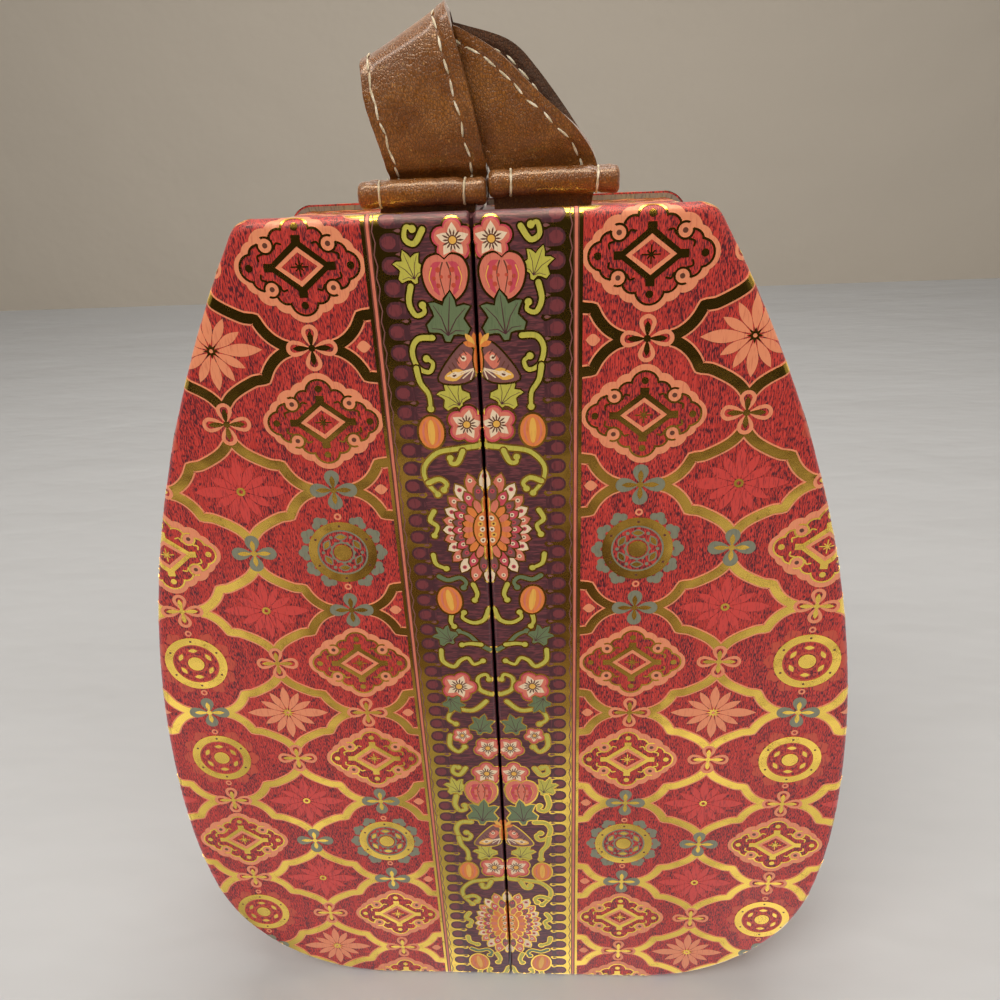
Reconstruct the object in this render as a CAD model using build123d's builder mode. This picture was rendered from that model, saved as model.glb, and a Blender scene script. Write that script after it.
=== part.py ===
"""Purse-shaped keepsake box: two covered board halves that meet at a centre seam and swing on a cloth spine.

Frame: millimetres, +Z up, the front face towards -Y. The origin is on the resting surface, under the middle
of the box. Each half is a tray of boards that opens towards the seam, and carries its own leather strap.
"""

import os
from math import asin, cos, degrees, radians, sin

from build123d import *

# Overall shape
WIDTH = 208.6
HEIGHT = 262.0
DEPTH = 53.0
TOP_WIDTH = 104.0
WIDEST_HEIGHT = 78.0
LOWER_FLANK_RADIUS = 180.0
LOWER_FLANK_ANGLE = 10.0
TOP_CORNER_RADIUS = 6.5
SEAM_GAP = 0.8

# Boards, papers and lining
PANEL = 3.6
PANEL_EDGE_RADIUS = 2.4
SEAM_EDGE_RADIUS = 0.9
OVERHANG = 1.7
WALL = 2.6
PAPER = 0.4
LINING = 0.4
TOP_JOINT_SETBACK = 9.0
SMALLEST_CORNER = 0.6

# Closure magnets, hidden in the seam edges of the front boards
MAGNET_LENGTH = 12.0
MAGNET_WIDTH = 3.2
MAGNET_THICKNESS = 1.6
MAGNET_HEIGHTS = (62.0, 205.0)

# Cloth spine across the back
SPINE_THICKNESS = 0.5
SPINE_LEAF_WIDTH = 20.0
SPINE_END_MARGIN = 7.0

# Straps
STRAP_WIDTH = 23.4
STRAP_THICKNESS = 1.9
STRAP_LEG_GAP = 0.6
STRAP_FLANGE = 9.0
STRAP_LEAN_START = -1.2
STRAP_LEAN = {"left": 3.1, "right": 1.2}
STRAP_WIDTH_AS_READ = 23.4
TUCKED_SHARE = 0.82
SLOT_CLEARANCE = 0.4
LEFT_FOOT_SETBACK = 0.9
RIGHT_FOOT_SETBACK = 3.9
ANCHOR_CARD_THICKNESS = 1.4
ANCHOR_CARD_MARGIN = 1.5

# Leather rolls that pinch the strap's feet
ROLL_RADIUS = 3.15
ROLL_LENGTH = 30.6
ROLL_INNER_END = {"left": 2.4, "right": 2.9}
ROLL_END_RADIUS = 0.9
ROLL_CORE_RADIUS = 1.6
ROLL_CORE_SHORTFALL = 1.2
ROLL_SEAT_GAP = 0.05
ROLL_LIFT = {"left": 0.0, "right": 1.4}
BINDING_RADIUS = 0.4
BINDING_SPACING = 20.3
BINDING_SWEEP = 250.0

SIDES = ("left", "right")

# Worked out from the sizes above
half_width = WIDTH / 2
half_top = TOP_WIDTH / 2
half_seam = SEAM_GAP / 2
flank_run = half_width - half_top
flank_rise = HEIGHT - WIDEST_HEIGHT
flank_radius = (flank_run**2 + flank_rise**2) / (2 * flank_run)
flank_sine = sin(radians(LOWER_FLANK_ANGLE))
corner_radius = (WIDEST_HEIGHT - LOWER_FLANK_RADIUS * flank_sine) / (1 - flank_sine)
lower_arc_cosine = cos(radians(LOWER_FLANK_ANGLE))
base_half = half_width - LOWER_FLANK_RADIUS + (LOWER_FLANK_RADIUS - corner_radius) * lower_arc_cosine

front_y = -(DEPTH + SPINE_THICKNESS) / 2
back_y = front_y + DEPTH
middle_y = (front_y + back_y) / 2
wall_depth = DEPTH - 2 * PANEL
front_plane = Plane.XZ.offset(-(front_y + PANEL))
wall_plane = Plane.XZ.offset(-(back_y - PANEL))
mirror_depth = Plane.XZ.offset(-middle_y)

wall_board_inset = OVERHANG + PAPER
wall_inner_inset = wall_board_inset + WALL
cavity_inset = wall_inner_inset + LINING
top_joint_x = half_top - TOP_JOINT_SETBACK
ceiling = HEIGHT - wall_inner_inset

leg_y = (STRAP_LEG_GAP + STRAP_THICKNESS) / 2
legs_depth = STRAP_LEG_GAP + 2 * STRAP_THICKNESS
roll_y = legs_depth / 2 + ROLL_RADIUS + ROLL_SEAT_GAP
foot_left = {"left": -LEFT_FOOT_SETBACK - STRAP_WIDTH, "right": RIGHT_FOOT_SETBACK}
foot_middle = {side: foot_left[side] + STRAP_WIDTH / 2 for side in SIDES}
roll_middle = {"left": ROLL_INNER_END["left"] - ROLL_LENGTH / 2, "right": ROLL_INNER_END["right"] + ROLL_LENGTH / 2}


def outline(inset=0.0, seam=half_seam):
    """Right half of the box's outline as a face, drawn in by inset and cut along x = seam."""
    top = HEIGHT - inset
    upper_radius = flank_radius - inset
    upper_angle = degrees(asin((top - WIDEST_HEIGHT) / upper_radius))
    lower_centre = (half_width - LOWER_FLANK_RADIUS, WIDEST_HEIGHT)
    upper_centre = (half_width - flank_radius, WIDEST_HEIGHT)
    with BuildSketch() as region:
        with BuildLine():
            base = Line((seam, inset), (base_half, inset))
            CenterArc((base_half, corner_radius), corner_radius - inset, -90, 90 - LOWER_FLANK_ANGLE)
            CenterArc(lower_centre, LOWER_FLANK_RADIUS - inset, -LOWER_FLANK_ANGLE, LOWER_FLANK_ANGLE)
            upper = CenterArc(upper_centre, upper_radius, 0, upper_angle)
            Polyline(upper @ 1, (seam, top), base @ 0)
        make_face()
        top_corner = region.vertices().group_by(Axis.Y)[-1].sort_by(Axis.X)[-1]
        fillet(top_corner, max(TOP_CORNER_RADIUS - inset, SMALLEST_CORNER))
    return region.sketch


def save(piece, name):
    """Label a finished piece and write its STEP file."""
    piece.part.label = name
    export_step(piece.part, f"parts/{name}.step")


def add_for(side, piece):
    """Add a right-hand piece, or its mirror image across the seam for the left half."""
    if side == "right":
        add(piece.part)
    else:
        mirror(piece.part, about=Plane.YZ)


def save_pair(piece, name):
    """Write a right-hand piece and its mirror image, one for each half."""
    for side in SIDES:
        with BuildPart() as handed:
            add_for(side, piece)
        save(handed, f"{side}_{name}")


def round_panel(panel, perimeter_radius, seam_radius):
    """Round the outer edges of a panel: the perimeter well, the edge along the seam slightly."""
    face_edges = panel.faces().sort_by(Axis.Y)[0].edges()
    seam_edge = face_edges.sort_by(Axis.X)[0]
    fillet([edge for edge in face_edges if edge is not seam_edge], perimeter_radius)
    seam_edge = panel.faces().sort_by(Axis.Y)[0].edges().sort_by(Axis.X)[0]
    fillet(seam_edge, seam_radius)


# Front and back panels: a board in a paper wrap that covers its outer face and all its edges
def make_panels():
    with BuildPart() as covered_panel:
        with BuildSketch(front_plane):
            add(outline())
        extrude(amount=PANEL)
        round_panel(covered_panel, PANEL_EDGE_RADIUS, SEAM_EDGE_RADIUS)

    with BuildPart() as board:
        with BuildSketch(front_plane):
            add(outline(PAPER, half_seam + PAPER))
        extrude(amount=PANEL - PAPER)
        round_panel(board, PANEL_EDGE_RADIUS - PAPER, SEAM_EDGE_RADIUS - PAPER)

    with BuildPart() as paper:
        add(covered_panel.part)
        add(board.part, mode=Mode.SUBTRACT)

    magnet_x = half_seam + PAPER + MAGNET_WIDTH / 2
    magnet_y = front_y + PAPER + (PANEL - PAPER) / 2
    with BuildPart() as magnets:
        with Locations(*[(magnet_x, magnet_y, height) for height in MAGNET_HEIGHTS]):
            Box(MAGNET_WIDTH, MAGNET_THICKNESS, MAGNET_LENGTH)

    with BuildPart() as front_board:
        add(board.part)
        add(magnets.part, mode=Mode.SUBTRACT)

    with BuildPart() as back_board:
        mirror(board.part, about=mirror_depth)

    with BuildPart() as back_paper:
        mirror(paper.part, about=mirror_depth)

    save_pair(front_board, "front_board")
    save_pair(paper, "front_paper")
    save_pair(magnets, "magnets")
    save_pair(back_board, "back_board")
    save_pair(back_paper, "back_paper")


def cut_strap_slot(side, flange=0.0):
    """Cut the opening that a strap's feet pass through; flange deepens it for the folded ends."""
    width = STRAP_WIDTH + 2 * SLOT_CLEARANCE
    depth = legs_depth + 2 * (SLOT_CLEARANCE + flange)
    with Locations((foot_middle[side], middle_y, HEIGHT)):
        Box(width, depth, 2 * (wall_inner_inset + STRAP_THICKNESS), mode=Mode.SUBTRACT)


# Walls between the panels: top, flank and base boards, their paper and the lining inside
def make_walls():
    board_seam = half_seam + PAPER
    with BuildPart() as top_board:
        with BuildSketch(wall_plane):
            with Locations((board_seam, HEIGHT - wall_board_inset)):
                Rectangle(top_joint_x - board_seam, WALL, align=(Align.MIN, Align.MAX))
        extrude(amount=wall_depth)

    with BuildPart() as base_board:
        with BuildSketch(wall_plane):
            with Locations((board_seam, wall_board_inset)):
                Rectangle(base_half - board_seam, WALL, align=(Align.MIN, Align.MIN))
        extrude(amount=wall_depth)

    with BuildPart() as wall_ring:
        with BuildSketch(wall_plane):
            add(outline(wall_board_inset, board_seam))
            add(outline(wall_inner_inset, 0), mode=Mode.SUBTRACT)
        extrude(amount=wall_depth)

    with BuildPart() as flank_board:
        add(wall_ring.part)
        add(top_board.part, mode=Mode.SUBTRACT)
        add(base_board.part, mode=Mode.SUBTRACT)

    with BuildPart() as wall_paper:
        with BuildSketch(wall_plane):
            add(outline(OVERHANG))
            add(outline(wall_inner_inset, 0), mode=Mode.SUBTRACT)
        extrude(amount=wall_depth)
        add(wall_ring.part, mode=Mode.SUBTRACT)

    with BuildPart() as lining:
        with BuildSketch(wall_plane):
            add(outline(wall_inner_inset))
        extrude(amount=wall_depth)
        with BuildSketch(wall_plane.offset(LINING)):
            add(outline(cavity_inset, 0))
        extrude(amount=wall_depth - 2 * LINING, mode=Mode.SUBTRACT)

    save_pair(flank_board, "flank_board")
    save_pair(base_board, "base_board")
    for side in SIDES:
        with BuildPart() as slotted_board:
            add_for(side, top_board)
            cut_strap_slot(side)
        save(slotted_board, f"{side}_top_board")

        with BuildPart() as slotted_paper:
            add_for(side, wall_paper)
            cut_strap_slot(side)
        save(slotted_paper, f"{side}_wall_paper")

        with BuildPart() as slotted_lining:
            add_for(side, lining)
            cut_strap_slot(side, flange=STRAP_FLANGE)
        save(slotted_lining, f"{side}_lining")


# Spine: a cloth leaf glued to the back of each half; the halves turn about the line between them
def make_spine():
    with BuildPart() as leaf:
        with BuildSketch(Plane.XZ.offset(-back_y)):
            with Locations((half_seam + SEAM_EDGE_RADIUS, HEIGHT / 2)):
                Rectangle(SPINE_LEAF_WIDTH, HEIGHT - 2 * SPINE_END_MARGIN, align=(Align.MIN, Align.CENTER))
        extrude(amount=-SPINE_THICKNESS)
    save_pair(leaf, "spine_leaf")


def strap_plane(inner_edge, outer_edge, ahead):
    """Plane of one strap section: x runs across the strap, z along it."""
    across = (outer_edge - inner_edge).normalized()
    along = (ahead - across * ahead.dot(across)).normalized()
    return Plane(origin=(inner_edge + outer_edge) * 0.5, x_dir=across, z_dir=along)


def station(x, y, height, tilt, swing=0.0, share=1.0, towards=1):
    """Left and right edge points of a strap at one station.

    The point given is the edge nearest the seam. The other edge lies a share of the strap's width away
    from it, tilted up in the plane of the face and swung towards the back, in degrees.
    """
    near = Vector(x, middle_y + y, HEIGHT + height)
    run = cos(radians(tilt)) * cos(radians(swing))
    rise = sin(radians(tilt)) * cos(radians(swing))
    far = near + Vector(towards * run, sin(radians(swing)), towards * rise) * (STRAP_WIDTH * share)
    return (near, far) if towards > 0 else (far, near)


def left_stations():
    """The left strap leans over the seam above its slot, then away from it, and folds over along a slanting crest.

    The right strap's folded crest stands on edge below that one, so a wider strap lifts it.
    """
    foot = -LEFT_FOOT_SETBACK
    lift = TUCKED_SHARE * (STRAP_WIDTH - STRAP_WIDTH_AS_READ)
    seam_edge = foot + STRAP_LEAN["left"]
    rising = [
        station(foot, -leg_y, -wall_inner_inset - STRAP_THICKNESS, 0, towards=-1),
        station(foot, -leg_y, STRAP_LEAN_START, 0, towards=-1),
        station(seam_edge, -leg_y, 6.2, 0, towards=-1),
        station(seam_edge - 0.1, -4.4, 10.0, 1.2, towards=-1),
        station(seam_edge - 1.5, -6.0, 18.0, 7.4, towards=-1),
        station(seam_edge - 4.0, -6.6, 29.0 + lift, 16.5, towards=-1),
        station(seam_edge - 6.1, -5.4, 36.9 + lift, 24.6, share=0.97, towards=-1),
        station(seam_edge - 6.9, -2.9, 40.0 + lift, 27.0, share=0.96, towards=-1),
    ]
    crest = station(seam_edge - 7.1, 0, 41.0 + lift, 27.5, share=0.96, towards=-1)
    falling = [tuple(mirrored(point) for point in edges) for edges in reversed(rising)]
    return rising + [crest] + falling


def right_stations():
    """The right strap sweeps across to the seam, so that its crest tucks in behind the left strap."""
    foot = RIGHT_FOOT_SETBACK
    underside = -wall_inner_inset - STRAP_THICKNESS
    return [
        station(foot, -leg_y, underside, 0),
        station(foot, -leg_y, STRAP_LEAN_START, 0),
        station(foot + STRAP_LEAN["right"], -leg_y, 7.4, 0),
        station(foot - 0.9, -1.7, 9.6, 14.6, swing=-8.0, share=0.92),
        station(foot - 3.6, -1.8, 12.0, 36.4, swing=-10.0, share=0.80),
        station(foot - 6.2, -1.8, 15.0, 62.0, swing=-8.6, share=0.79),
        station(foot - 8.3, -1.6, 17.8, 84.0, swing=-3.0, share=0.80),
        station(foot - 9.2, 0, 18.6, 91.6, share=TUCKED_SHARE),
        station(foot - 8.3, 1.6, 17.8, 83.5, swing=3.4, share=0.85),
        station(foot - 6.2, 1.8, 15.0, 61.5, swing=7.6, share=0.95),
        station(foot - 3.6, 1.8, 12.0, 47.5, swing=9.6, share=0.94),
        station(foot - 0.9, 1.7, 9.6, 21.0, swing=8.0, share=0.93),
        station(foot + STRAP_LEAN["right"], leg_y, 7.4, 0),
        station(foot, leg_y, STRAP_LEAN_START, 0),
        station(foot, leg_y, underside, 0),
    ]


def mirrored(point):
    """The same point on the other side of the middle of the depth."""
    return Vector(point.X, 2 * middle_y - point.Y, point.Z)


def make_straps():
    """One leather loop for each half: up from the slot, over its crest and down again, feet folded outwards."""
    for side, stations in (("left", left_stations()), ("right", right_stations())):
        middles = [(near + far) * 0.5 for near, far in stations]
        with BuildPart() as strap:
            for place, (near, far) in enumerate(stations):
                before = middles[max(place - 1, 0)]
                after = middles[min(place + 1, len(middles) - 1)]
                with BuildSketch(strap_plane(near, far, after - before)):
                    Rectangle((far - near).length, STRAP_THICKNESS)
            loft(ruled=True)
            flange_reach = legs_depth / 2 + STRAP_FLANGE
            for direction in (-1, 1):
                flange_middle = direction * (flange_reach + STRAP_LEG_GAP / 2) / 2
                with Locations((foot_middle[side], middle_y + flange_middle, ceiling - STRAP_THICKNESS / 2)):
                    Box(STRAP_WIDTH, flange_reach - STRAP_LEG_GAP / 2, STRAP_THICKNESS)
        save(strap, f"{side}_strap")

        with BuildPart() as anchor_card:
            with Locations((foot_middle[side], middle_y, ceiling - STRAP_THICKNESS)):
                Box(
                    STRAP_WIDTH,
                    2 * (flange_reach + ANCHOR_CARD_MARGIN),
                    ANCHOR_CARD_THICKNESS,
                    align=(Align.CENTER, Align.CENTER, Align.MAX),
                )
        save(anchor_card, f"{side}_anchor_card")


# Rolls: a dowel in a leather sleeve in front of and behind each strap's feet, bound on with thread
def make_rolls():
    for side in SIDES:
        height = HEIGHT + ROLL_RADIUS + ROLL_LIFT[side]
        start_x = roll_middle[side] - ROLL_LENGTH / 2
        core_length = ROLL_LENGTH - 2 * ROLL_CORE_SHORTFALL
        places = {"front": middle_y - roll_y, "back": middle_y + roll_y}
        for place, y in places.items():
            axis_start = Plane(origin=(start_x, y, height), x_dir=(0, 1, 0), z_dir=(1, 0, 0))
            with BuildPart() as sleeve:
                with BuildSketch(axis_start):
                    Circle(ROLL_RADIUS)
                extrude(amount=ROLL_LENGTH)
                fillet(sleeve.edges().filter_by(GeomType.CIRCLE), ROLL_END_RADIUS)
                with BuildSketch(axis_start.offset(ROLL_CORE_SHORTFALL)):
                    Circle(ROLL_CORE_RADIUS)
                extrude(amount=core_length, mode=Mode.SUBTRACT)
            save(sleeve, f"{side}_{place}_roll")

        with BuildPart() as cores:
            for y in places.values():
                with Locations(Plane(origin=(roll_middle[side], y, height), x_dir=(0, 1, 0), z_dir=(1, 0, 0))):
                    Cylinder(ROLL_CORE_RADIUS, core_length)
        save(cores, f"{side}_roll_cores")

        with BuildPart() as bindings:
            for y, facing in ((places["front"], 0), (places["back"], 180)):
                for offset_x in (-BINDING_SPACING / 2, BINDING_SPACING / 2):
                    centre = (roll_middle[side] + offset_x, y, height)
                    start_angle = radians(facing + (360 - BINDING_SWEEP) / 2)
                    outwards = (0, cos(start_angle), sin(start_angle))
                    round_roll = (0, -sin(start_angle), cos(start_angle))
                    with BuildSketch(Plane(origin=centre, x_dir=outwards, z_dir=round_roll)):
                        with Locations((ROLL_RADIUS + BINDING_RADIUS, 0)):
                            Circle(BINDING_RADIUS)
                    revolve(axis=Axis(centre, (1, 0, 0)), revolution_arc=BINDING_SWEEP)
        save(bindings, f"{side}_roll_bindings")


os.makedirs("parts", exist_ok=True)
make_panels()
make_walls()
make_spine()
make_straps()
make_rolls()
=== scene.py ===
"""Keepsake box, its looks: printed and foiled paper, leather handles and a cloth spine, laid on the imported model.

Artwork and sizes are in millimetres, as a maker's drawing has them, and become metres where a mesh is made.
"""

import logging
from dataclasses import dataclass, field
from enum import Enum
from math import atan2, ceil, cos, hypot, pi, radians, sin
from typing import Callable, Sequence

import bpy
from mathutils import Matrix, Vector
from mathutils.geometry import delaunay_2d_cdt


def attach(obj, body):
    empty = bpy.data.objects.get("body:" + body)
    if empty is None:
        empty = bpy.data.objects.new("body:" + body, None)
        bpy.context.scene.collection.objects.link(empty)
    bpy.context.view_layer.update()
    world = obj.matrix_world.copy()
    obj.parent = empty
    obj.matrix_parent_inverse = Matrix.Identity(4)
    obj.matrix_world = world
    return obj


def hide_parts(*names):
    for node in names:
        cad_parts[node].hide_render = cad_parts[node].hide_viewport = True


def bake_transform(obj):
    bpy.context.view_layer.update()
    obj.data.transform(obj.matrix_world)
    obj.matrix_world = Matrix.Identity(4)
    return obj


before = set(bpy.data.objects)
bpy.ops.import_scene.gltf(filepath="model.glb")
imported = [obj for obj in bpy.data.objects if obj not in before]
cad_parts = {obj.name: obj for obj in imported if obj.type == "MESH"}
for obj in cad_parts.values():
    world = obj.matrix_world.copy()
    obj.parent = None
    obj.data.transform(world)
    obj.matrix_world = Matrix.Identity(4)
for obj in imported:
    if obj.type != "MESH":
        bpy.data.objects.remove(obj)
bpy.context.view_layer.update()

log = logging.getLogger("keepsake_box")
MM = 0.001
Point = tuple[float, float]
Outline = list[Point]
Piece = bpy.types.Object
Tree = bpy.types.NodeTree
Node = bpy.types.Node
Socket = bpy.types.NodeSocket

# Satin varnish over all that is printed: the weight and the roughness of its coat.
VARNISH = (0.12, 0.2)


def linear(colour: str) -> tuple[float, float, float, float]:
    """Turn an sRGB hex colour into the linear values that a shader takes.

    Args:
        colour: "#RRGGBB".

    Returns:
        Linear red, green, blue and alpha.
    """
    parts = [int(colour[i : i + 2], 16) / 255 for i in (1, 3, 5)]
    return (*((p / 12.92 if p <= 0.04045 else ((p + 0.055) / 1.055) ** 2.4) for p in parts), 1.0)


def add_node(tree: Tree, kind: str, inputs: dict | None = None, **settings: object) -> Node:
    """Add a node to a material or world, with its settings and links.

    Args:
        tree: The node tree.
        kind: Blender's name for the node.
        inputs: A value or another node's output for each input, by name or number.
        settings: The node's own properties.

    Returns:
        The new node.
    """
    node = tree.nodes.new(kind)
    for name, value in settings.items():
        setattr(node, name, value)
    for key, value in (inputs or {}).items():
        if isinstance(value, Socket):
            tree.links.new(value, node.inputs[key])
        else:
            node.inputs[key].default_value = value
    return node


@dataclass
class Pattern:
    """The nodes that draw a finish: its tree, its shader and the place on the piece, in metres."""

    tree: Tree
    shader: Node
    place: Socket

    @classmethod
    def on(cls, material: bpy.types.Material) -> "Pattern":
        """The nodes of a material, placed by the piece's own coordinates."""
        tree = material.node_tree
        return cls(tree, tree.nodes["Principled BSDF"], add_node(tree, "ShaderNodeTexCoord").outputs["Object"])

    def set(self, name: str, value: object) -> None:
        """Set one of the shader's inputs to a value, or link it to a socket.

        Args:
            name: The input's name.
            value: A number, a linear colour or a socket.
        """
        if isinstance(value, Socket):
            self.tree.links.new(value, self.shader.inputs[name])
        else:
            self.shader.inputs[name].default_value = value

    def axis(self, number: int) -> Socket:
        """The place along one axis, in metres."""
        return add_node(self.tree, "ShaderNodeSeparateXYZ", {0: self.place}).outputs[number]

    def scaled(self, per_metre: Sequence[float]) -> Socket:
        """The place with each axis scaled by its own number."""
        return add_node(self.tree, "ShaderNodeMapping", {"Vector": self.place, "Scale": per_metre}).outputs[0]

    def noise(self, grain_mm: Sequence[float], detail: float) -> Socket:
        """Noise whose blotches measure about grain_mm along x, y and z.

        Args:
            grain_mm: Size of a blotch along each axis.
            detail: Finer octaves to add.

        Returns:
            The noise value's socket.
        """
        scaled = self.scaled([1000 / g for g in grain_mm])
        return add_node(self.tree, "ShaderNodeTexNoise", {"Vector": scaled, "Scale": 1.0, "Detail": detail}).outputs[0]

    def cells(self, vector: Socket) -> Socket:
        """The distance from the edges of irregular cells."""
        inputs = {"Vector": vector, "Scale": 1.0}
        return add_node(self.tree, "ShaderNodeTexVoronoi", inputs, feature="DISTANCE_TO_EDGE").outputs["Distance"]

    def maths(self, operation: str, *values: object) -> Socket:
        """The result of a Math node's operation on numbers and sockets."""
        return add_node(self.tree, "ShaderNodeMath", dict(enumerate(values)), operation=operation).outputs[0]

    def spread(self, value: Socket, low: float, high: float, least: float, most: float) -> Socket:
        """A value's run from low to high, spread over least to most and held there beyond it."""
        inputs = {0: value, 1: low, 2: high, 3: least, 4: most}
        return add_node(self.tree, "ShaderNodeMapRange", inputs).outputs[0]

    def step(self, value: Socket, low: float, high: float) -> Socket:
        """A smooth 0 to 1 step between low and high."""
        inputs = {0: value, 1: low, 2: high}
        return add_node(self.tree, "ShaderNodeMapRange", inputs, interpolation_type="SMOOTHSTEP").outputs[0]

    def mix(self, share: Socket, first: object, second: object) -> Socket:
        """Two colours, each a hex value or a socket, mixed by share."""
        first, second = (linear(c) if isinstance(c, str) else c for c in (first, second))
        return add_node(self.tree, "ShaderNodeMix", {0: share, 6: first, 7: second}, data_type="RGBA").outputs[2]

    def bump(self, height: Socket, depth_mm: float) -> None:
        """Give the surface relief depth_mm deep from a 0 to 1 height."""
        inputs = {"Height": height, "Distance": depth_mm * MM, "Strength": 1.0}
        self.set("Normal", add_node(self.tree, "ShaderNodeBump", inputs).outputs[0])

    def coat(self, weight: float, roughness: float) -> None:
        """Lay a clear coat of varnish or wax over the surface."""
        self.set("Coat Weight", weight)
        self.set("Coat Roughness", roughness)


@dataclass(frozen=True)
class Finish:
    """A surface finish: a real material and what its surface does to light."""

    name: str
    colour: str
    roughness: float = 0.5

    def make(self) -> bpy.types.Material:
        """Make the material, or give back the one made before.

        Returns:
            The material.
        """
        known = bpy.data.materials.get(self.name)
        if known:
            return known
        material = bpy.data.materials.new(self.name)
        material.use_nodes = True
        material.diffuse_color = linear(self.colour)
        pattern = Pattern.on(material)
        pattern.set("Base Color", linear(self.colour))
        pattern.set("Roughness", self.roughness)
        self.dress(pattern)
        return material

    def dress(self, pattern: Pattern) -> None:
        """Draw this finish's pattern. A plain finish has none."""


@dataclass(frozen=True)
class SlubPaper(Finish):
    """Offset-printed art paper with a satin varnish: a red ground drawn like slub silk.

    Short black-red slubs run one way, and the middle band is aubergine with slubs across it.
    """

    along: int = 2
    bright: str = "#DA3F35"
    dark: str = "#571320"
    band: str = "#50272E"
    band_slub: str = "#7A3A40"
    band_half_width_mm: float = 24.0

    def dress(self, pattern: Pattern) -> None:
        """Draw the slubs, the speckle and the band.

        Args:
            pattern: The finish's nodes.
        """
        slub, thread, cross, column = [0.27] * 3, [0.2] * 3, [0.35] * 3, [2.0] * 3
        slub[self.along], thread[self.along], cross[0], column[self.along] = 1.3, 5.0, 2.6, 15.0
        # Slubs are 0.2 to 0.4 mm wide and 1 to 3 mm long, and crowd into columns some 2 mm across.
        slubs = pattern.noise(slub, 2.5)
        marks = pattern.step(pattern.maths("MULTIPLY_ADD", pattern.noise(column, 1.0), 0.22, slubs), 0.6, 0.69)
        threads = pattern.step(pattern.noise(thread, 1.0), 0.36, 0.66)
        red = pattern.mix(marks, pattern.mix(threads, self.colour, self.bright), self.dark)
        streaks = pattern.step(pattern.noise(cross, 2.0), 0.46, 0.62)
        aubergine = pattern.mix(streaks, self.band, self.band_slub)
        off = pattern.maths("ABSOLUTE", pattern.axis(0))
        outside = pattern.maths("GREATER_THAN", off, self.band_half_width_mm * MM)
        pattern.set("Base Color", pattern.mix(outside, aubergine, red))
        pattern.bump(slubs, 0.025)
        pattern.coat(*VARNISH)


@dataclass(frozen=True)
class PrintInk(Finish):
    """Offset ink under satin varnish: flat colour that the slub print shows through as faint darker threads."""

    shade: str = "#000000"
    show_through: float = 0.35

    def dress(self, pattern: Pattern) -> None:
        """Let the slubs show through.

        Args:
            pattern: The finish's nodes.
        """
        slubs = pattern.step(pattern.noise((0.4, 0.9, 3.0), 3.0), 0.52, 0.7)
        faint = pattern.maths("MULTIPLY", slubs, self.show_through)
        pattern.set("Base Color", pattern.mix(faint, self.colour, self.shade))
        pattern.bump(slubs, 0.02)
        pattern.coat(*VARNISH)


@dataclass(frozen=True)
class HotFoil(Finish):
    """Hot-stamped gold foil on paper: a mirror-like metal skin that follows every unevenness of the board.

    Fine crazing and rubbed specks break up its reflection.
    """

    crazing: str = "#A8802F"
    rubbed: float = 0.34

    def dress(self, pattern: Pattern) -> None:
        """Add crazing 0.5 mm apart and slow waves some 11 mm long.

        Args:
            pattern: The finish's nodes.
        """
        pattern.set("Metallic", 1.0)
        cracks = pattern.step(pattern.cells(pattern.scaled((1900, 1900, 1500))), 0.0, 0.07)
        patches = pattern.step(pattern.noise((5, 5, 5), 3.0), 0.34, 0.5)
        kept = pattern.maths("MAXIMUM", cracks, patches)
        pattern.set("Base Color", pattern.mix(kept, self.crazing, self.colour))
        pattern.set("Roughness", pattern.spread(kept, 0.0, 1.0, self.rubbed, self.roughness))
        waves = pattern.noise((11, 11, 11), 1.5)
        grain = pattern.noise((0.5, 0.5, 0.5), 2.0)
        pattern.bump(pattern.maths("MULTIPLY_ADD", grain, 0.022, waves), 0.34)


@dataclass(frozen=True)
class Leather(Finish):
    """Vegetable-tanned cowhide, waxed and burnished: warm brown with a crinkled grain, darker in its creases by painted
    shade, with specks of painted highlight.
    """

    # Colour of the painted shade in the grain's creases.
    deep: str = "#613A14"
    shade: str = "#884F1C"
    # Colour of the specks of painted highlight.
    glint: str = "#BC8546"
    wax: float = 0.6

    def dress(self, pattern: Pattern) -> None:
        """Add the hide's grain, 0.5 mm across and 0.9 mm long, its cloudy dye, painted shade in its creases and specks
        of painted highlight.

        Args:
            pattern: The finish's nodes.
        """
        warped = pattern.noise((2.6, 2.6, 2.6), 3.0)
        cloud = pattern.step(pattern.noise((9, 9, 9), 3.0), 0.36, 0.66)
        hide = {0: pattern.scaled((1900, 1900, 1150)), 1: warped}
        bent = add_node(pattern.tree, "ShaderNodeVectorMath", hide, operation="ADD").outputs[0]
        creases = pattern.step(pattern.cells(bent), -0.12, 0.3)
        # Random specks of painted highlight in the glint colour.
        wear_and_painted_glint = pattern.step(pattern.noise((1.2, 1.2, 1.2), 3.0), 0.6, 0.74)
        body = pattern.mix(wear_and_painted_glint, pattern.mix(cloud, self.shade, self.colour), self.glint)
        # The grain's creases are darkened with painted shade.
        pattern.set("Base Color", pattern.mix(creases, self.deep, body))
        pattern.bump(pattern.maths("MULTIPLY_ADD", warped, 1.6, creases), 0.1)
        pattern.set("Roughness", pattern.spread(warped, 0.3, 0.7, self.roughness - 0.1, self.roughness + 0.12))
        pattern.coat(self.wax, 0.16)


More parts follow.
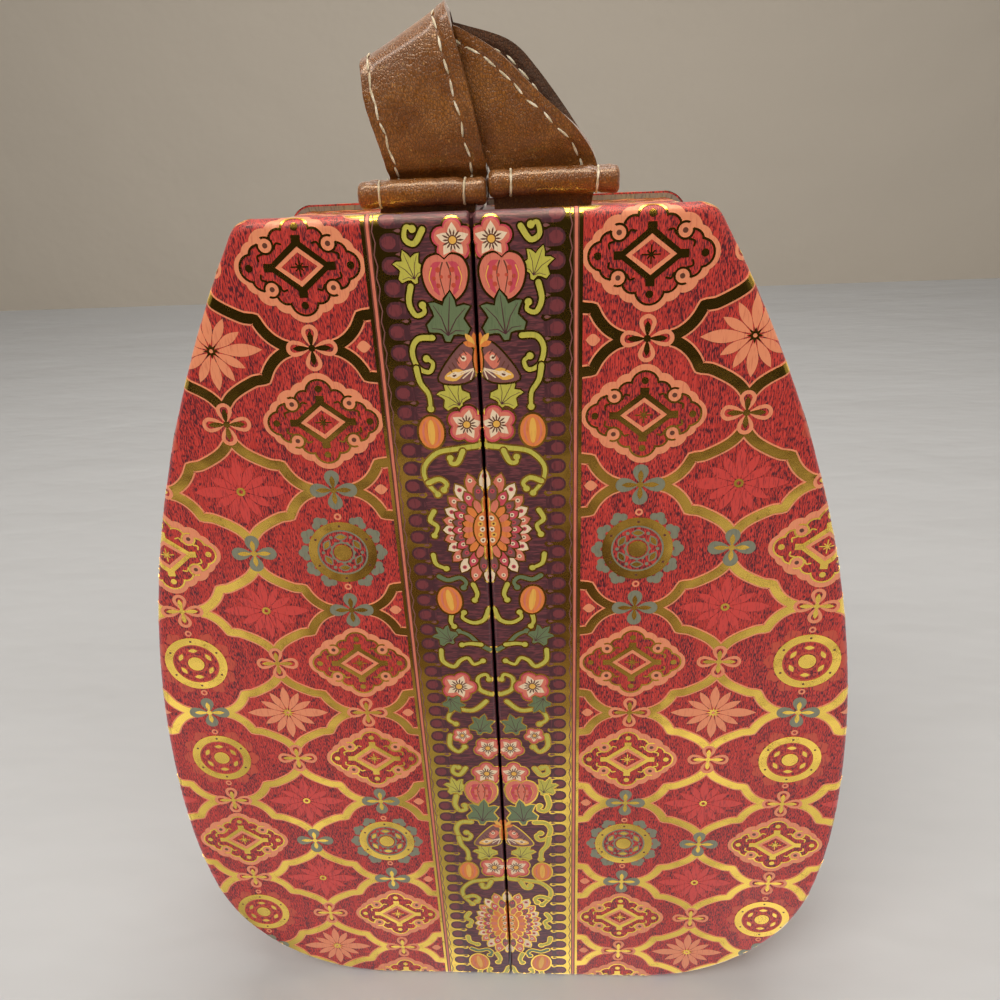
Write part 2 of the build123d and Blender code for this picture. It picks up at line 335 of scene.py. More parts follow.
@dataclass(frozen=True)
class Woven(Finish):
    """Plain-woven cloth or twisted thread: crossing yarns give a soft, matt, finely ribbed surface."""

    gap: str = "#000000"
    yarn_mm: float = 0.45

    def dress(self, pattern: Pattern) -> None:
        """Draw yarns yarn_mm apart both ways.

        Args:
            pattern: The finish's nodes.
        """
        yarn = {"Vector": pattern.place, "Scale": 1000 / self.yarn_mm / 20, "Distortion": 0.6, "Detail Scale": 40.0}
        bands = [
            add_node(pattern.tree, "ShaderNodeTexWave", yarn, bands_direction=axis).outputs["Fac"]
            for axis in ("X", "Z")
        ]
        weave = pattern.maths("MULTIPLY", *bands)
        wear_and_painted_glint = pattern.maths("MULTIPLY_ADD", pattern.noise((1.5, 1.5, 1.5), 3.0), 0.5, weave)
        pattern.set("Base Color", pattern.mix(pattern.step(wear_and_painted_glint, 0.1, 0.8), self.gap, self.colour))
        pattern.bump(weave, 0.06)
        pattern.set("Sheen Weight", 0.25)


@dataclass(frozen=True)
class Fibrous(Finish):
    """Pressed board, card, wood or plain paper: matt, with pale and dark fibres lying along one axis."""

    fleck: str = "#000000"
    grain_mm: tuple[float, float, float] = (0.5, 0.5, 1.6)
    relief_mm: float = 0.04
    metallic: float = 0.0

    def dress(self, pattern: Pattern) -> None:
        """Scatter the fibres and lift them a little.

        Args:
            pattern: The finish's nodes.
        """
        fibres = pattern.noise(self.grain_mm, 4.0)
        pattern.set("Base Color", pattern.mix(pattern.step(fibres, 0.48, 0.72), self.colour, self.fleck))
        pattern.bump(fibres, self.relief_mm)
        pattern.set("Metallic", self.metallic)


class Ink(Enum):
    """What a shape of the artwork is printed with. BARE leaves the ground showing."""

    BARE = None
    FOIL = HotFoil("gold_hot_foil", "#F2C85A", 0.2)
    CORAL = PrintInk("coral_ink", "#F0946A", 0.42, "#C9503F")
    SALMON = PrintInk("salmon_ink", "#E07A62", 0.42, "#B5493F")
    GREY = PrintInk("grey_green_ink", "#85856F", 0.42, "#57584A")
    BRIGHT = PrintInk("bright_red_ink", "#D8423A", 0.42, "#8E2228", 0.8)
    EMBER = PrintInk("ember_orange_ink", "#CB4C33", 0.42, "#8A2426", 0.8)
    WINE = PrintInk("wine_red_ink", "#7E363B", 0.42, "#552329", 0.7)
    IVY = PrintInk("ivy_green_ink", "#6C7C56", 0.42, "#4C5A3E")
    LIME = PrintInk("lime_green_ink", "#C6BC4C", 0.42, "#8F8838")
    ORANGE = PrintInk("orange_ink", "#E8843A", 0.42, "#B4502A")
    AMBER = PrintInk("amber_ink", "#F0B64E", 0.42, "#D08038")
    ROSE = PrintInk("rose_ink", "#CF4858", 0.42, "#A83248")
    CREAM = PrintInk("cream_ink", "#F2D9B8", 0.42, "#D8A68A")
    BROWN = PrintInk("brown_ink", "#6A3A26", 0.42, "#432016")
    AUBERGINE = PrintInk("aubergine_ink", "#50272E", 0.42, "#7A3A40", 0.8)
    MAUVE = PrintInk("mauve_ink", "#84524F", 0.42, "#5E3238")


def circle(radius: float, centre: Point = (0, 0), tall: float | None = None, steps: int = 24) -> Outline:
    """A circle, or an ellipse where tall is given.

    Args:
        radius: Radius, or half the ellipse's width.
        centre: Its middle.
        tall: Half the ellipse's height.
        steps: Corners round it.

    Returns:
        The outline, anticlockwise.
    """
    tall = radius if tall is None else tall
    turns = (2 * pi * k / steps for k in range(steps))
    return [(centre[0] + radius * cos(t), centre[1] + tall * sin(t)) for t in turns]


def passing(before: float, start: float, end: float, after: float, t: float) -> float:
    """One coordinate of a smooth line, t of the way from start to end.

    Args:
        before: The coordinate one point before the start.
        start: The start's coordinate.
        end: The end's coordinate.
        after: The coordinate one point after the end.
        t: 0 to 1.

    Returns:
        The coordinate.
    """
    slope = end - before
    bend = 2 * before - 5 * start + 4 * end - after
    twist = 3 * start - before - 3 * end + after
    return 0.5 * (2 * start + slope * t + bend * t * t + twist * t**3)


def curve(points: Sequence[Point], per: int) -> Outline:
    """A smooth open line through points.

    Args:
        points: The points that it passes.
        per: Steps between two of them.

    Returns:
        The line.
    """
    line = []
    last = len(points) - 1
    for k in range(last):
        near = points[max(k - 1, 0)], points[k], points[k + 1], points[min(k + 2, last)]
        line += [tuple(passing(*axis, step / per) for axis in zip(*near)) for step in range(per)]
    return line + [tuple(points[-1])]


def blob(*points: Point) -> Outline:
    """A smooth closed outline through points, with a corner at the first."""
    return curve([*points, points[0]], 3)[:-1]


def petal(start: float, end: float, width: float, turn: float, fullest: float = 0.5) -> Outline:
    """A pointed petal lying along a ray from the middle.

    Args:
        start: Distance of its inner tip.
        end: Distance of its outer tip.
        width: Its width.
        turn: Direction of the ray in degrees.
        fullest: Where along it the petal is widest, 0 to 1.

    Returns:
        The outline.
    """
    steps, bend = 8, 1 / fullest - 1
    side = []
    for k in range(steps + 1):
        t = k / steps
        share = t / (t + (1 - t) / bend)
        side.append((start + (end - start) * t, width / 2 * sin(pi * share)))
    outline = [(x, -y) for x, y in side] + side[-2:0:-1]
    ca, sa = cos(radians(turn)), sin(radians(turn))
    return [(x * ca - y * sa, x * sa + y * ca) for x, y in outline]


def ray(reach: float, turn: float) -> Point:
    """The point at a distance from the middle, in a direction in radians."""
    return reach * cos(turn), reach * sin(turn)


def rosette(radii: Sequence[float], points: int, turn: float = 90) -> Outline:
    """An outline whose distance from the middle runs through radii in each of its equal parts.

    Args:
        radii: The distances in one part.
        points: How many parts there are.
        turn: Direction of the first corner in degrees.

    Returns:
        The outline.
    """
    total = points * len(radii)
    return [ray(radii[k % len(radii)], radians(turn + 360 * k / total)) for k in range(total)]


def rectangle(left: float, low: float, right: float, high: float) -> Outline:
    """A rectangle between two opposite corners."""
    return [(left, low), (right, low), (right, high), (left, high)]


def shifted(outline: Sequence[Point], x: float, y: float) -> Outline:
    """The outline moved by x and y."""
    return [(x + u, y + v) for u, v in outline]


def both_sides(half: Outline) -> Outline:
    """The whole outline of a shape whose right half is given from its top to its foot."""
    return half + [(-x, y) for x, y in reversed(half) if x > 0]


def winding(outline: Outline) -> float:
    """Twice the area within an outline, negative where it runs clockwise."""
    pairs = zip([outline[-1], *outline], outline)
    return sum(ax * by - bx * ay for (ax, ay), (bx, by) in pairs)


def grown(outline: Outline, by: float) -> Outline:
    """The outline moved outwards by a distance, corner by corner.

    Args:
        outline: A closed outline.
        by: The distance, negative to shrink it.

    Returns:
        The new outline.
    """
    side = 1 if winding(outline) > 0 else -1
    moved = []
    for k, (x, y) in enumerate(outline):
        (ax, ay), (cx, cy) = outline[k - 1], outline[(k + 1) % len(outline)]
        nx, ny = (y - ay) + (cy - y), (ax - x) + (x - cx)
        size = hypot(nx, ny) or 1.0
        moved.append((x + side * by * nx / size, y + side * by * ny / size))
    return moved


def inside(outline: Outline, x: float, y: float) -> bool:
    """Whether a point lies inside a closed outline.

    Args:
        outline: The outline.
        x: The point's x.
        y: The point's y.

    Returns:
        True if it does.
    """
    odd = False
    ax, ay = outline[-1]
    for bx, by in outline:
        if (ay > y) != (by > y) and x < ax + (y - ay) * (bx - ax) / (by - ay):
            odd = not odd
        ax, ay = bx, by
    return odd


def fade(off: float, reach: float) -> float:
    """A smooth bump: 1 in its middle, a third at its reach and almost nothing at twice its reach."""
    return 2.7 ** -((off / reach) ** 2)


@dataclass
class Artwork:
    """Flat artwork: closed shapes, each printed over the ones before it."""

    shapes: list[tuple[Outline, Ink]] = field(default_factory=list)

    def fill(self, outline: Outline, ink: Ink) -> None:
        """Print a closed outline."""
        self.shapes.append((outline, ink))

    def disc(self, radius: float, ink: Ink, at: Point = (0, 0), steps: int = 24, tall: float | None = None) -> None:
        """Print a circle, or an ellipse where tall is given."""
        self.fill(circle(radius, at, tall, steps), ink)

    def edged(self, outline: Outline, ink: Ink, edge: float = 0.45) -> None:
        """Print an outline with a gilt border round it."""
        self.fill(grown(outline, edge), Ink.FOIL)
        self.fill(outline, ink)

    def stroke(self, line: Sequence[Point], width: float, ink: Ink, taper: float = 0.0) -> None:
        """Print a line with rounded ends.

        Args:
            line: The line's points.
            width: Its width.
            ink: Its ink.
            taper: How much thinner its far end is, 0 to 1.
        """
        left, right = [], []
        last = len(line) - 1
        for k, (x, y) in enumerate(line):
            (ax, ay), (bx, by) = line[max(k - 1, 0)], line[min(k + 1, last)]
            size = hypot(bx - ax, by - ay) or 1.0
            half = width / 2 * (1 - taper * k / last)
            nx, ny = (ay - by) / size * half, (bx - ax) / size * half
            left.append((x + nx, y + ny))
            right.append((x - nx, y - ny))
        caps = []
        for (x, y), (px, py), half in ((line[0], line[1], width / 2), (line[-1], line[-2], width / 2 * (1 - taper))):
            start = atan2(y - py, x - px) - pi / 2
            caps.append(shifted([ray(half, start + pi * k / 4) for k in (1, 2, 3)], x, y))
        self.fill(right + caps[1] + left[::-1] + caps[0], ink)

    def add(self, motif: "Artwork", at: Point, turn: float = 0, size: float = 1.0) -> None:
        """Print a motif at a place.

        Args:
            motif: The motif, drawn about its own middle.
            at: Where its middle goes.
            turn: Degrees that it is turned.
            size: How much it is enlarged.
        """
        ca, sa = size * cos(radians(turn)), size * sin(radians(turn))
        for outline, ink in motif.shapes:
            self.fill([(at[0] + x * ca - y * sa, at[1] + x * sa + y * ca) for x, y in outline], ink)


@dataclass
class BoxForm:
    """The box's outline and depths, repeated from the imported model."""

    half_width: float = 104.3
    height: float = 262.0
    half_top: float = 52.0
    widest: float = 78.0
    lower_radius: float = 180.0
    lower_angle: float = radians(10)
    top_corner: float = 6.5
    front: float = -26.75
    back: float = 26.25
    wall_front: float = -23.15
    wall_back: float = 22.65
    overhang: float = 1.7
    panel_round: float = 2.4
    seam_round: float = 0.9
    seam: float = 0.4

    def __post_init__(self) -> None:
        """Work out the arcs of the right-hand half, from the base up."""
        run, rise = self.half_width - self.half_top, self.height - self.widest
        upper = (run**2 + rise**2) / (2 * run)
        tilt = sin(self.lower_angle)
        corner = (self.widest - self.lower_radius * tilt) / (1 - tilt)
        self.base_half = self.half_width - self.lower_radius + (self.lower_radius - corner) * cos(self.lower_angle)
        corner_z = self.height - self.top_corner
        climb = corner_z - self.widest
        self.top_half = self.half_width - upper + ((upper - self.top_corner) ** 2 - climb**2) ** 0.5
        shoulder = atan2(climb, self.top_half - (self.half_width - upper))
        self.arcs = (
            (self.base_half, corner, corner, -pi / 2, -self.lower_angle),
            (self.half_width - self.lower_radius, self.widest, self.lower_radius, -self.lower_angle, 0.0),
            (self.half_width - upper, self.widest, upper, 0.0, shoulder),
            (self.top_half, corner_z, self.top_corner, shoulder, pi / 2),
        )

    def beyond(self, x: float, z: float, inset: float) -> tuple[float, float, float]:
        """How far a point lies outside the outline.

        Args:
            x: Distance from the middle.
            z: Height.
            inset: How far the outline is drawn in.

        Returns:
            The distance, negative inside, and the outward direction's x and z.
        """
        found = [(-99.0, 0.0, 1.0)]
        if x <= self.base_half:
            found.append((inset - z, 0.0, -1.0))
        if x <= self.top_half:
            found.append((z - self.height + inset, 0.0, 1.0))
        for cx, cz, radius, low, high in self.arcs:
            away = hypot(x - cx, z - cz)
            if away > 1e-6 and low - 1e-6 <= atan2(z - cz, x - cx) <= high + 1e-6:
                found.append((away - radius + inset, (x - cx) / away, (z - cz) / away))
        return max(found)

    def outline(self, inset: float, seam: float, pitch: float = 2.0) -> Outline:
        """The right half's outline.

        Args:
            inset: How far it is drawn in.
            seam: Where it starts and ends beside the middle.
            pitch: Longest step along its arcs.

        Returns:
            The open line from the foot of the seam round to its top.
        """
        line = [(seam, inset)]
        for cx, cz, radius, low, high in self.arcs:
            arc = radius - inset
            count = max(8, ceil(arc * (high - low) / pitch))
            turns = [low + (high - low) * k / count for k in range(count)]
            line += [(cx + arc * cos(t), cz + arc * sin(t)) for t in turns]
        return line + [(self.top_half, self.height - inset), (seam, self.height - inset)]


@dataclass
class CoverFace:
    """The face of a front or back cover, whose edges roll over to the walls. Drawn as seen from the front."""

    form: BoxForm
    outward: float = -1.0
    seam_from: float = 1.3
    turned_at_seam: float = 1.4
    turned_at_edge: float = 3.7

    def place(self, x: float, z: float) -> tuple[Vector, Vector]:
        """Lay a point of the artwork on the cover.

        Args:
            x: Distance from the seam along the paper.
            z: Height along the paper.

        Returns:
            The point in millimetres, and the outward direction there.
        """
        form = self.form
        away, nx, nz = form.beyond(x, z, form.panel_round)
        over, drop = self.roll(away, form.panel_round)
        x, z = x + nx * (over - max(away, 0)), z + nz * (over - max(away, 0))
        lean = min(max(away, 0) / form.panel_round, pi / 2)
        normal = Vector((nx * sin(lean), self.outward * cos(lean), nz * sin(lean)))
        inward = self.seam_from - x
        over_seam, drop_seam = self.roll(inward, form.seam_round)
        if inward > 0:
            x = self.seam_from - over_seam
            lean = min(inward / form.seam_round, pi / 2)
            normal = normal * cos(lean) + Vector((-sin(lean), 0, 0))
        middle = (form.front + form.back) / 2
        depth = (form.back - form.front) / 2 - max(drop, drop_seam)
        return Vector((x, middle + self.outward * depth, z)), normal.normalized()

    def roll(self, away: float, radius: float) -> tuple[float, float]:
        """Roll paper over a rounded edge.

        Args:
            away: Length of paper past the start of the edge.
            radius: The edge's radius.

        Returns:
            How far out and how far down that length reaches.
        """
        if away <= 0:
            return 0.0, 0.0
        lean = min(away / radius, pi / 2)
        return radius * sin(lean), radius * (1 - cos(lean)) + max(0.0, away - radius * pi / 2)

    def region(self, seam_reach: float, edge_reach: float) -> Outline:
        """The paper's outline, reaching round the seam edge and the outer edge."""
        return self.form.outline(self.form.panel_round - edge_reach, self.seam_from - seam_reach)

    def folds(self, seam_reach: float) -> list[Outline]:
        """Lines along which the paper bends.

        Args:
            seam_reach: How far the paper reaches round the seam edge.

        Returns:
            Nine lines over the outer edge and five over the seam edge.
        """
        form = self.form
        lines = [form.outline(form.panel_round - 0.55 * k, self.seam_from - seam_reach) for k in range(9)]
        for x in (self.seam_from - 0.36 * k for k in range(5)):
            lines.append([(x, -3.0), (x, form.height + 3.0)])
        return lines

    def holds(self, x: float, z: float) -> bool:
        """Whether the paper covers a point: a corner has no paper beyond both of its edges.

        Args:
            x: Distance from the seam along the paper.
            z: Height along the paper.

        Returns:
            True if it does.
        """
        away, inward = self.form.beyond(x, z, self.form.panel_round)[0], self.seam_from - x
        return not ((away > 0 and inward > self.turned_at_seam) or (away > self.turned_at_edge and inward > 0))


@dataclass
class WallFace:
    """The band of paper over the top, the flank and the base, unrolled from the seam at the top."""

    form: BoxForm

    def __post_init__(self) -> None:
        """Measure where each arc starts and ends along the band."""
        self.runs = []
        at = self.form.top_half
        for arc in reversed(self.form.arcs):
            length = (arc[2] - self.form.overhang) * (arc[4] - arc[3])
            self.runs.append((at, at + length, arc))
            at += length
        self.length = at + self.form.base_half

    def place(self, u: float, v: float) -> tuple[Vector, Vector]:
        """Lay a point of the artwork on the wall.

        Args:
            u: Distance along the band from the seam at the top.
            v: Depth, y in the row frame.

        Returns:
            The point in millimetres, and the outward direction there.
        """
        form, inset = self.form, self.form.overhang
        if u <= form.top_half:
            return Vector((u, v, form.height - inset)), Vector((0, 0, 1))
        for start, end, arc in self.runs:
            if u <= end:
                turn = arc[4] - (u - start) / (arc[2] - inset)
                out = Vector((cos(turn), 0, sin(turn)))
                return Vector((arc[0], v, arc[1])) + out * (arc[2] - inset), out
        return Vector((self.length - u, v, inset)), Vector((0, 0, -1))

    def region(self) -> Outline:
        """The band's outline."""
        form = self.form
        return rectangle(form.seam, form.wall_front, self.length - form.seam, form.wall_back)

    def folds(self) -> list[Outline]:
        """Lines across the band, close together where it turns sharply.

        Returns:
            The lines.
        """
        lines = []
        for start, end, arc in self.runs:
            radius = arc[2] - self.form.overhang
            count = ceil((end - start) / min(3.0, 0.2 * radius**0.5 + 0.03 * radius))
            for u in (start + (end - start) * k / count for k in range(count + 1)):
                lines.append([(u, -30.0), (u, 30.0)])
        return lines

    def holds(self, u: float, v: float) -> bool:
        """The whole band is covered."""
        return True


def deselect() -> None:
    """Leave nothing selected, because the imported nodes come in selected."""
    if bpy.context.object and bpy.context.object.mode != "OBJECT":
        bpy.ops.object.mode_set(mode="OBJECT")
    bpy.ops.object.select_all(action="DESELECT")


def choose(piece: Piece) -> None:
    """Select one piece alone and make it active.

    Args:
        piece: The piece.
    """
    deselect()
    piece.select_set(True)
    bpy.context.view_layer.objects.active = piece


def shape_with(piece: Piece, kind: str, **settings: object) -> None:
    """Put a modifier on a piece and apply it.

    Args:
        piece: The piece.
        kind: Blender's name for the modifier.
        settings: Its properties.
    """
    choose(piece)
    modifier = piece.modifiers.new(kind.title(), kind)
    for name, value in settings.items():
        setattr(modifier, name, value)
    bpy.ops.object.modifier_apply(modifier=modifier.name)


def finish_piece(piece: Piece, finish: Finish, body: str, smooth: float = 40) -> Piece:
    """Shade a piece, give it its finish and let it ride on its half.

    Args:
        piece: The piece, its place in its mesh.
        finish: Its finish.
        body: The body that carries it.
        smooth: Angle in degrees past which an edge stays sharp.

    Returns:
        The piece.
    """
    choose(piece)
    bpy.ops.object.shade_smooth_by_angle(angle=radians(smooth))
    piece.data.materials.append(finish.make())
    if body:
        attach(piece, body)
    return piece


def piece_from(name: str, points: Sequence[Sequence[float]], faces: Sequence[Sequence[int]]) -> Piece:
    """Make a piece from its corners and faces.

    Args:
        name: The piece's name.
        points: Its corners, in metres.
        faces: The corners of each face.

    Returns:
        The piece.
    """
    mesh = bpy.data.meshes.new(name)
    mesh.from_pydata([tuple(p) for p in points], [], faces)
    piece = bpy.data.objects.new(mesh.name, mesh)
    bpy.context.collection.objects.link(piece)
    return piece


def face_outwards(piece: Piece, gap: float = 0.0) -> None:
    """Turn every face of a piece outwards.

    Args:
        piece: The piece.
        gap: Corners closer than this, in metres, are joined first.
    """
    choose(piece)
    bpy.ops.object.mode_set(mode="EDIT")
    bpy.ops.mesh.select_all(action="SELECT")
    if gap:
        bpy.ops.mesh.remove_doubles(threshold=gap)
    bpy.ops.mesh.normals_make_consistent(inside=False)
    bpy.ops.object.mode_set(mode="OBJECT")


@dataclass
class PrintRun:
    """Lays artwork on a surface as inked and foiled skins: one closed skin for each ink.

    The shapes are merged on the flat first, so that no two inks lie over each other.
    """

    name: str
    art: Artwork
    face: CoverFace | WallFace
    region: Outline
    folds: list[Outline]
    lift: float = 0.05
    foil_rise: float = 0.05
    sink: float = 0.06

    def merge(self) -> tuple[list[Point], dict[Ink, list[Sequence[int]]]]:
        """Cut the artwork into triangles that don't overlap.

        Returns:
            The flat points, and each ink's triangles.
        """
        low, high = ([edge(p[k] for p in self.region) for k in (0, 1)] for edge in (min, max))
        points, edges, shapes = list(self.region), [], [(self.region, Ink.BARE)]
        faces = [list(range(len(points)))]
        for outline, ink in self.art.shapes:
            if any(max(p[k] for p in outline) < low[k] or min(p[k] for p in outline) > high[k] for k in (0, 1)):
                continue
            faces.append(list(range(len(points), len(points) + len(outline))))
            points += outline if winding(outline) > 0 else outline[::-1]
            shapes.append((outline, ink))
        for fold in self.folds:
            edges += [(len(points) + k, len(points) + k + 1) for k in range(len(fold) - 1)]
            points += fold
        flat, _, cut, _, _, sources = delaunay_2d_cdt([Vector(p) for p in points], edges, faces, 1, 1e-4, True)
        printed: dict[Ink, list[Sequence[int]]] = {}
        for corners, source in zip(cut, sources):
            middle = [sum(flat[c][k] for c in corners) / len(corners) for k in (0, 1)]
            if 0 not in source or not self.face.holds(*middle):
                continue
            over = (shapes[number] for number in sorted(source, reverse=True))
            ink = next((ink for outline, ink in over if inside(outline, *middle)), Ink.BARE)
            if ink is not Ink.BARE:
                printed.setdefault(ink, []).append(corners)
        return [tuple(p) for p in flat], printed

    def print(self, bodies: dict[int, str]) -> int:
        """Make the skins.

        Args:
            bodies: The body for each side, 1 for the right half as drawn and -1 for its mirror image.

        Returns:
            How many skins there are.
        """
        flat, printed = self.merge()
        laid: dict[int, tuple[Vector, Vector]] = {}
        count = 0
        for ink, triangles in printed.items():
            used = sorted({corner for triangle in triangles for corner in triangle})
            rank = {corner: number for number, corner in enumerate(used)}
            for corner in used:
                if corner not in laid:
                    laid[corner] = self.face.place(*flat[corner])
            rise = self.lift + (self.foil_rise if ink is Ink.FOIL else 0.0)
            outward = 0.0
            for (a, normal), (b, _), (c, _) in ([laid[corner] for corner in triangle] for triangle in triangles):
                outward += (b - a).cross(c - a).dot(normal)
            points = [(laid[corner][0] + laid[corner][1] * rise) * MM for corner in used]
            for side, body in bodies.items():
                order = 1 if (outward > 0) == (side > 0) else -1
                piece = piece_from(
                    f"{self.name}_{ink.name.lower()}_{body}",
                    [(p.x * side, p.y, p.z) for p in points],
                    [[rank[corner] for corner in triangle][::order] for triangle in triangles],
                )
                shape_with(piece, "SOLIDIFY", thickness=(rise + self.sink) * MM, offset=-1)
                finish_piece(piece, ink.value, body, 35)
                count += 1
        return count


@dataclass
class LatticeArt:
    """The gilt trellis with its medallions, roundels, quatrefoils and daisies."""

    column: float = 24.0
    row: float = 18.18
    first_column: float = 38.6
    trellis: float = 2.4
    trellis_edge: float = 0.42
    strip_edge: float = 24.0

    def medallion(self) -> Artwork:
        """A coral scalloped cartouche with a gilt line and a gilt diamond frame.

        Returns:
            The motif.
        """
        art = Artwork()
        # A lobe is (x, y, half its width, half its height).
        band, hollow = [(0, 0, 10.4, 8.4)], [(0, 0, 9.3, 6.7)]
        for sx in (-1, 1):
            band += [(sx * 10.8, 0, 4.0, 4.0), (0, sx * 7.9, 4.4, 4.4)]
            hollow += [(sx * 10.5, 0, 2.75, 2.75), (0, sx * 7.5, 2.9, 2.9)]
            for sy in (-1, 1):
                band += [(sx * 7.3, sy * 5.0, 3.3, 3.3), (sx * 10.1, sy * 3.1, 2.6, 2.6)]
                band += [(sx * 4.0, sy * 7.2, 2.9, 2.9)]
                hollow += [(sx * 8.5, sy * 2.7, 2.2, 2.0), (sx * 3.7, sy * 5.7, 2.1, 2.1)]
        for ink, lobes, more in ((Ink.CORAL, band, 0.0), (Ink.FOIL, hollow, 0.5), (Ink.BARE, hollow, 0.0)):
            for x, y, wide, tall in lobes:
                art.disc(wide + more, ink, (x, y), 28, tall + more)
        for sx in (-1, 1):
            for sy in (-1, 1):
                x, y = sx * 7.0, sy * 4.7
                tail = ((0, -0.7), (0.2, 0.9), (1.9, 2.6), (2.9, 1.2), (0.9, 0))
                art.disc(2.0, Ink.FOIL, (x, y), 20)
                art.fill([(x + sx * u, y + sy * v) for u, v in tail], Ink.CORAL)
                art.disc(1.5, Ink.CORAL, (x, y), 20)
                art.disc(0.6, Ink.BROWN, (x, y), 10)
                for hook in (((5.1, 4.0), (4.5, 5.1), (3.5, 4.9)), ((8.0, 2.9), (9.1, 2.5), (9.0, 1.5))):
                    art.stroke(curve([(sx * u, sy * v) for u, v in hook], 4), 0.45, Ink.FOIL)
            art.disc(0.85, Ink.FOIL, (sx * 11.5, 0), 14)
            art.disc(0.85, Ink.FOIL, (0, sx * 8.4), 14)
        for x, y in ((7.1, 0), (-7.1, 0), (0, 5.8), (0, -5.8)):
            art.fill(rectangle(x - 1.0, y - 0.9, x + 1.0, y + 0.9), Ink.FOIL)
        for wide, tall, ink in ((7.4, 6.0, Ink.FOIL), (5.5, 4.3, Ink.CORAL), (4.1, 3.1, Ink.BARE)):
            art.fill([(wide, 0), (0, tall), (-wide, 0), (0, -tall)], ink)
        for turn, reach in ((0, 1.9), (45, 1.1), (90, 1.9), (135, 1.1)):
            x, y = ray(reach, radians(turn))
            art.stroke([(-x, -y), (x, y)], 0.32, Ink.FOIL)
        return art

    def roundel(self, lobes: Ink) -> Artwork:
        """A gilt ring with beads on it, lobes round it and six leaves round its gilt middle.

        Args:
            lobes: The ink of the lobes.

        Returns:
            The motif.
        """
        art = Artwork()
        for turn in (radians(30 * k + 30) for k in range(12)):
            if abs(cos(turn)) < 0.01:
                art.disc(1.0, Ink.CORAL, (0, 10.6 * sin(turn)), 14)
                art.disc(0.5, Ink.BARE, (0, 10.6 * sin(turn)), 10)
                continue
            for reach, off, radius in ((10.0, -0.13, 1.05), (10.0, 0.13, 1.05), (10.7, 0.0, 1.25)):
                art.disc(radius, lobes, ray(reach, turn + off), 14)
        art.disc(9.1, Ink.FOIL, steps=60)
        art.disc(6.75, lobes, steps=44)
        art.disc(6.3, Ink.BARE, steps=44)
        for k in range(6):
            turn = radians(60 * k + 90)
            art.disc(0.36, Ink.BROWN, ray(7.85, turn), 10)
            for reach, wide, ink in ((1.8, 2.1, lobes), (1.4, 1.3, Ink.FOIL)):
                art.fill(shifted(petal(-reach, reach, wide, 60 * k + 180), *ray(4.65, turn)), ink)
            art.disc(0.5, lobes, ray(5.2, turn + pi / 6), 8)
        art.fill(rosette((3.6, 3.1), 12), lobes)
        art.disc(2.75, Ink.BARE, steps=28)
        art.disc(2.4, Ink.FOIL, steps=28)
        return art

    def quatrefoil(self, grey: bool) -> Artwork:
        """Four teardrop lobes: coral loops, or filled grey-green ones with a gilt vein.

        Args:
            grey: Whether it is the grey-green kind.

        Returns:
            The motif.
        """
        art = Artwork()
        layers = ((3.9, 0.0, Ink.GREY),) if grey else ((3.9, 0.0, Ink.CORAL), (2.0, 1.3, Ink.BARE))
        for turn, reach in ((0, 6.1), (180, 6.1), (90, 5.5), (270, 5.5)):
            bulb = reach - 1.95
            for wide, pull, ink in layers:
                art.fill(petal(0.2 + pull, bulb + 1.2 - pull * 0.4, wide * 0.92, turn, 0.62), ink)
                art.disc(wide / 2, ink, ray(bulb, radians(turn)), 18)
            art.fill(petal(0.2, reach - 1.5, 1.35, turn, 0.6), Ink.FOIL)
        art.disc(0.85, Ink.FOIL, steps=12)
        return art

    def daisy(self, toned: bool) -> Artwork:
        """A twelve-petalled daisy, coral, or in a red close to its ground.

        Args:
            toned: Whether it is the tone-on-tone kind.

        Returns:
            The motif.
        """
        art = Artwork()
        for k in range(12):
            reach, wide = (12.2, 3.1) if k % 6 == 0 else (9.7, 2.6) if k % 6 == 3 else (8.6, 2.2)
            art.fill(petal(1.0, reach, wide, 30 * k, 0.55), Ink.BRIGHT if toned else Ink.CORAL)
        if toned:
            art.disc(1.2, Ink.FOIL, steps=14)
            art.disc(0.55, Ink.BARE, steps=10)
        else:
            art.fill(rosette((1.9, 0.9), 8), Ink.FOIL)
            art.disc(0.5, Ink.CORAL, steps=8)
        return art

    def draw(self, art: Artwork, columns: range, rows: range, first_row: float) -> None:
        """Draw the whole lattice.

        Args:
            art: The artwork that it goes on.
            columns: Column numbers, 0 beside the strip.
            rows: Row numbers, counted downwards.
            first_row: The height of row 0.
        """
        spots = {
            (i, j): (self.first_column + self.column * i, first_row - self.row * j) for i in columns for j in rows
        }
        arms = curve([(0.235, 0.03), (0.30, 0.062), (0.388, 0.145), (0.46, 0.26), (0.51, 0.39)], 3)
        arms += curve([(0.51, 0.39), (0.58, 0.40), (0.643, 0.42), (0.796, 0.522), (0.90, 0.62), (0.97, 0.73)], 3)[1:]
        crossings = [spot for (i, j), spot in spots.items() if i % 2 == 0 and j % 2 == 0]
        for width, ink in ((self.trellis + 2 * self.trellis_edge, Ink.CORAL), (self.trellis, Ink.FOIL)):
            for x, y in crossings:
                for sx in (-1, 1):
                    for sy in (-1, 1):
                        art.stroke([(x + sx * u * self.column, y + sy * v * self.row) for u, v in arms], width, ink)
        medallion = self.medallion()
        roundels = {ink: self.roundel(ink) for ink in (Ink.GREY, Ink.EMBER)}
        quatrefoils = {grey: self.quatrefoil(grey) for grey in (False, True)}
        daisies = {toned: self.daisy(toned) for toned in (False, True)}
        for (i, j), spot in spots.items():
            turn = j % 6
            if (i + j) % 2 == 0:
                grey = turn != 0 if i % 4 == 0 else turn == 3 if i % 2 else turn == 0
                art.add(quatrefoils[grey], spot)
            elif i % 2 and i > 0:
                art.add(daisies[turn != 0], spot)
            elif i % 2:
                bud = petal(0, 3.4, 2.8, 0)
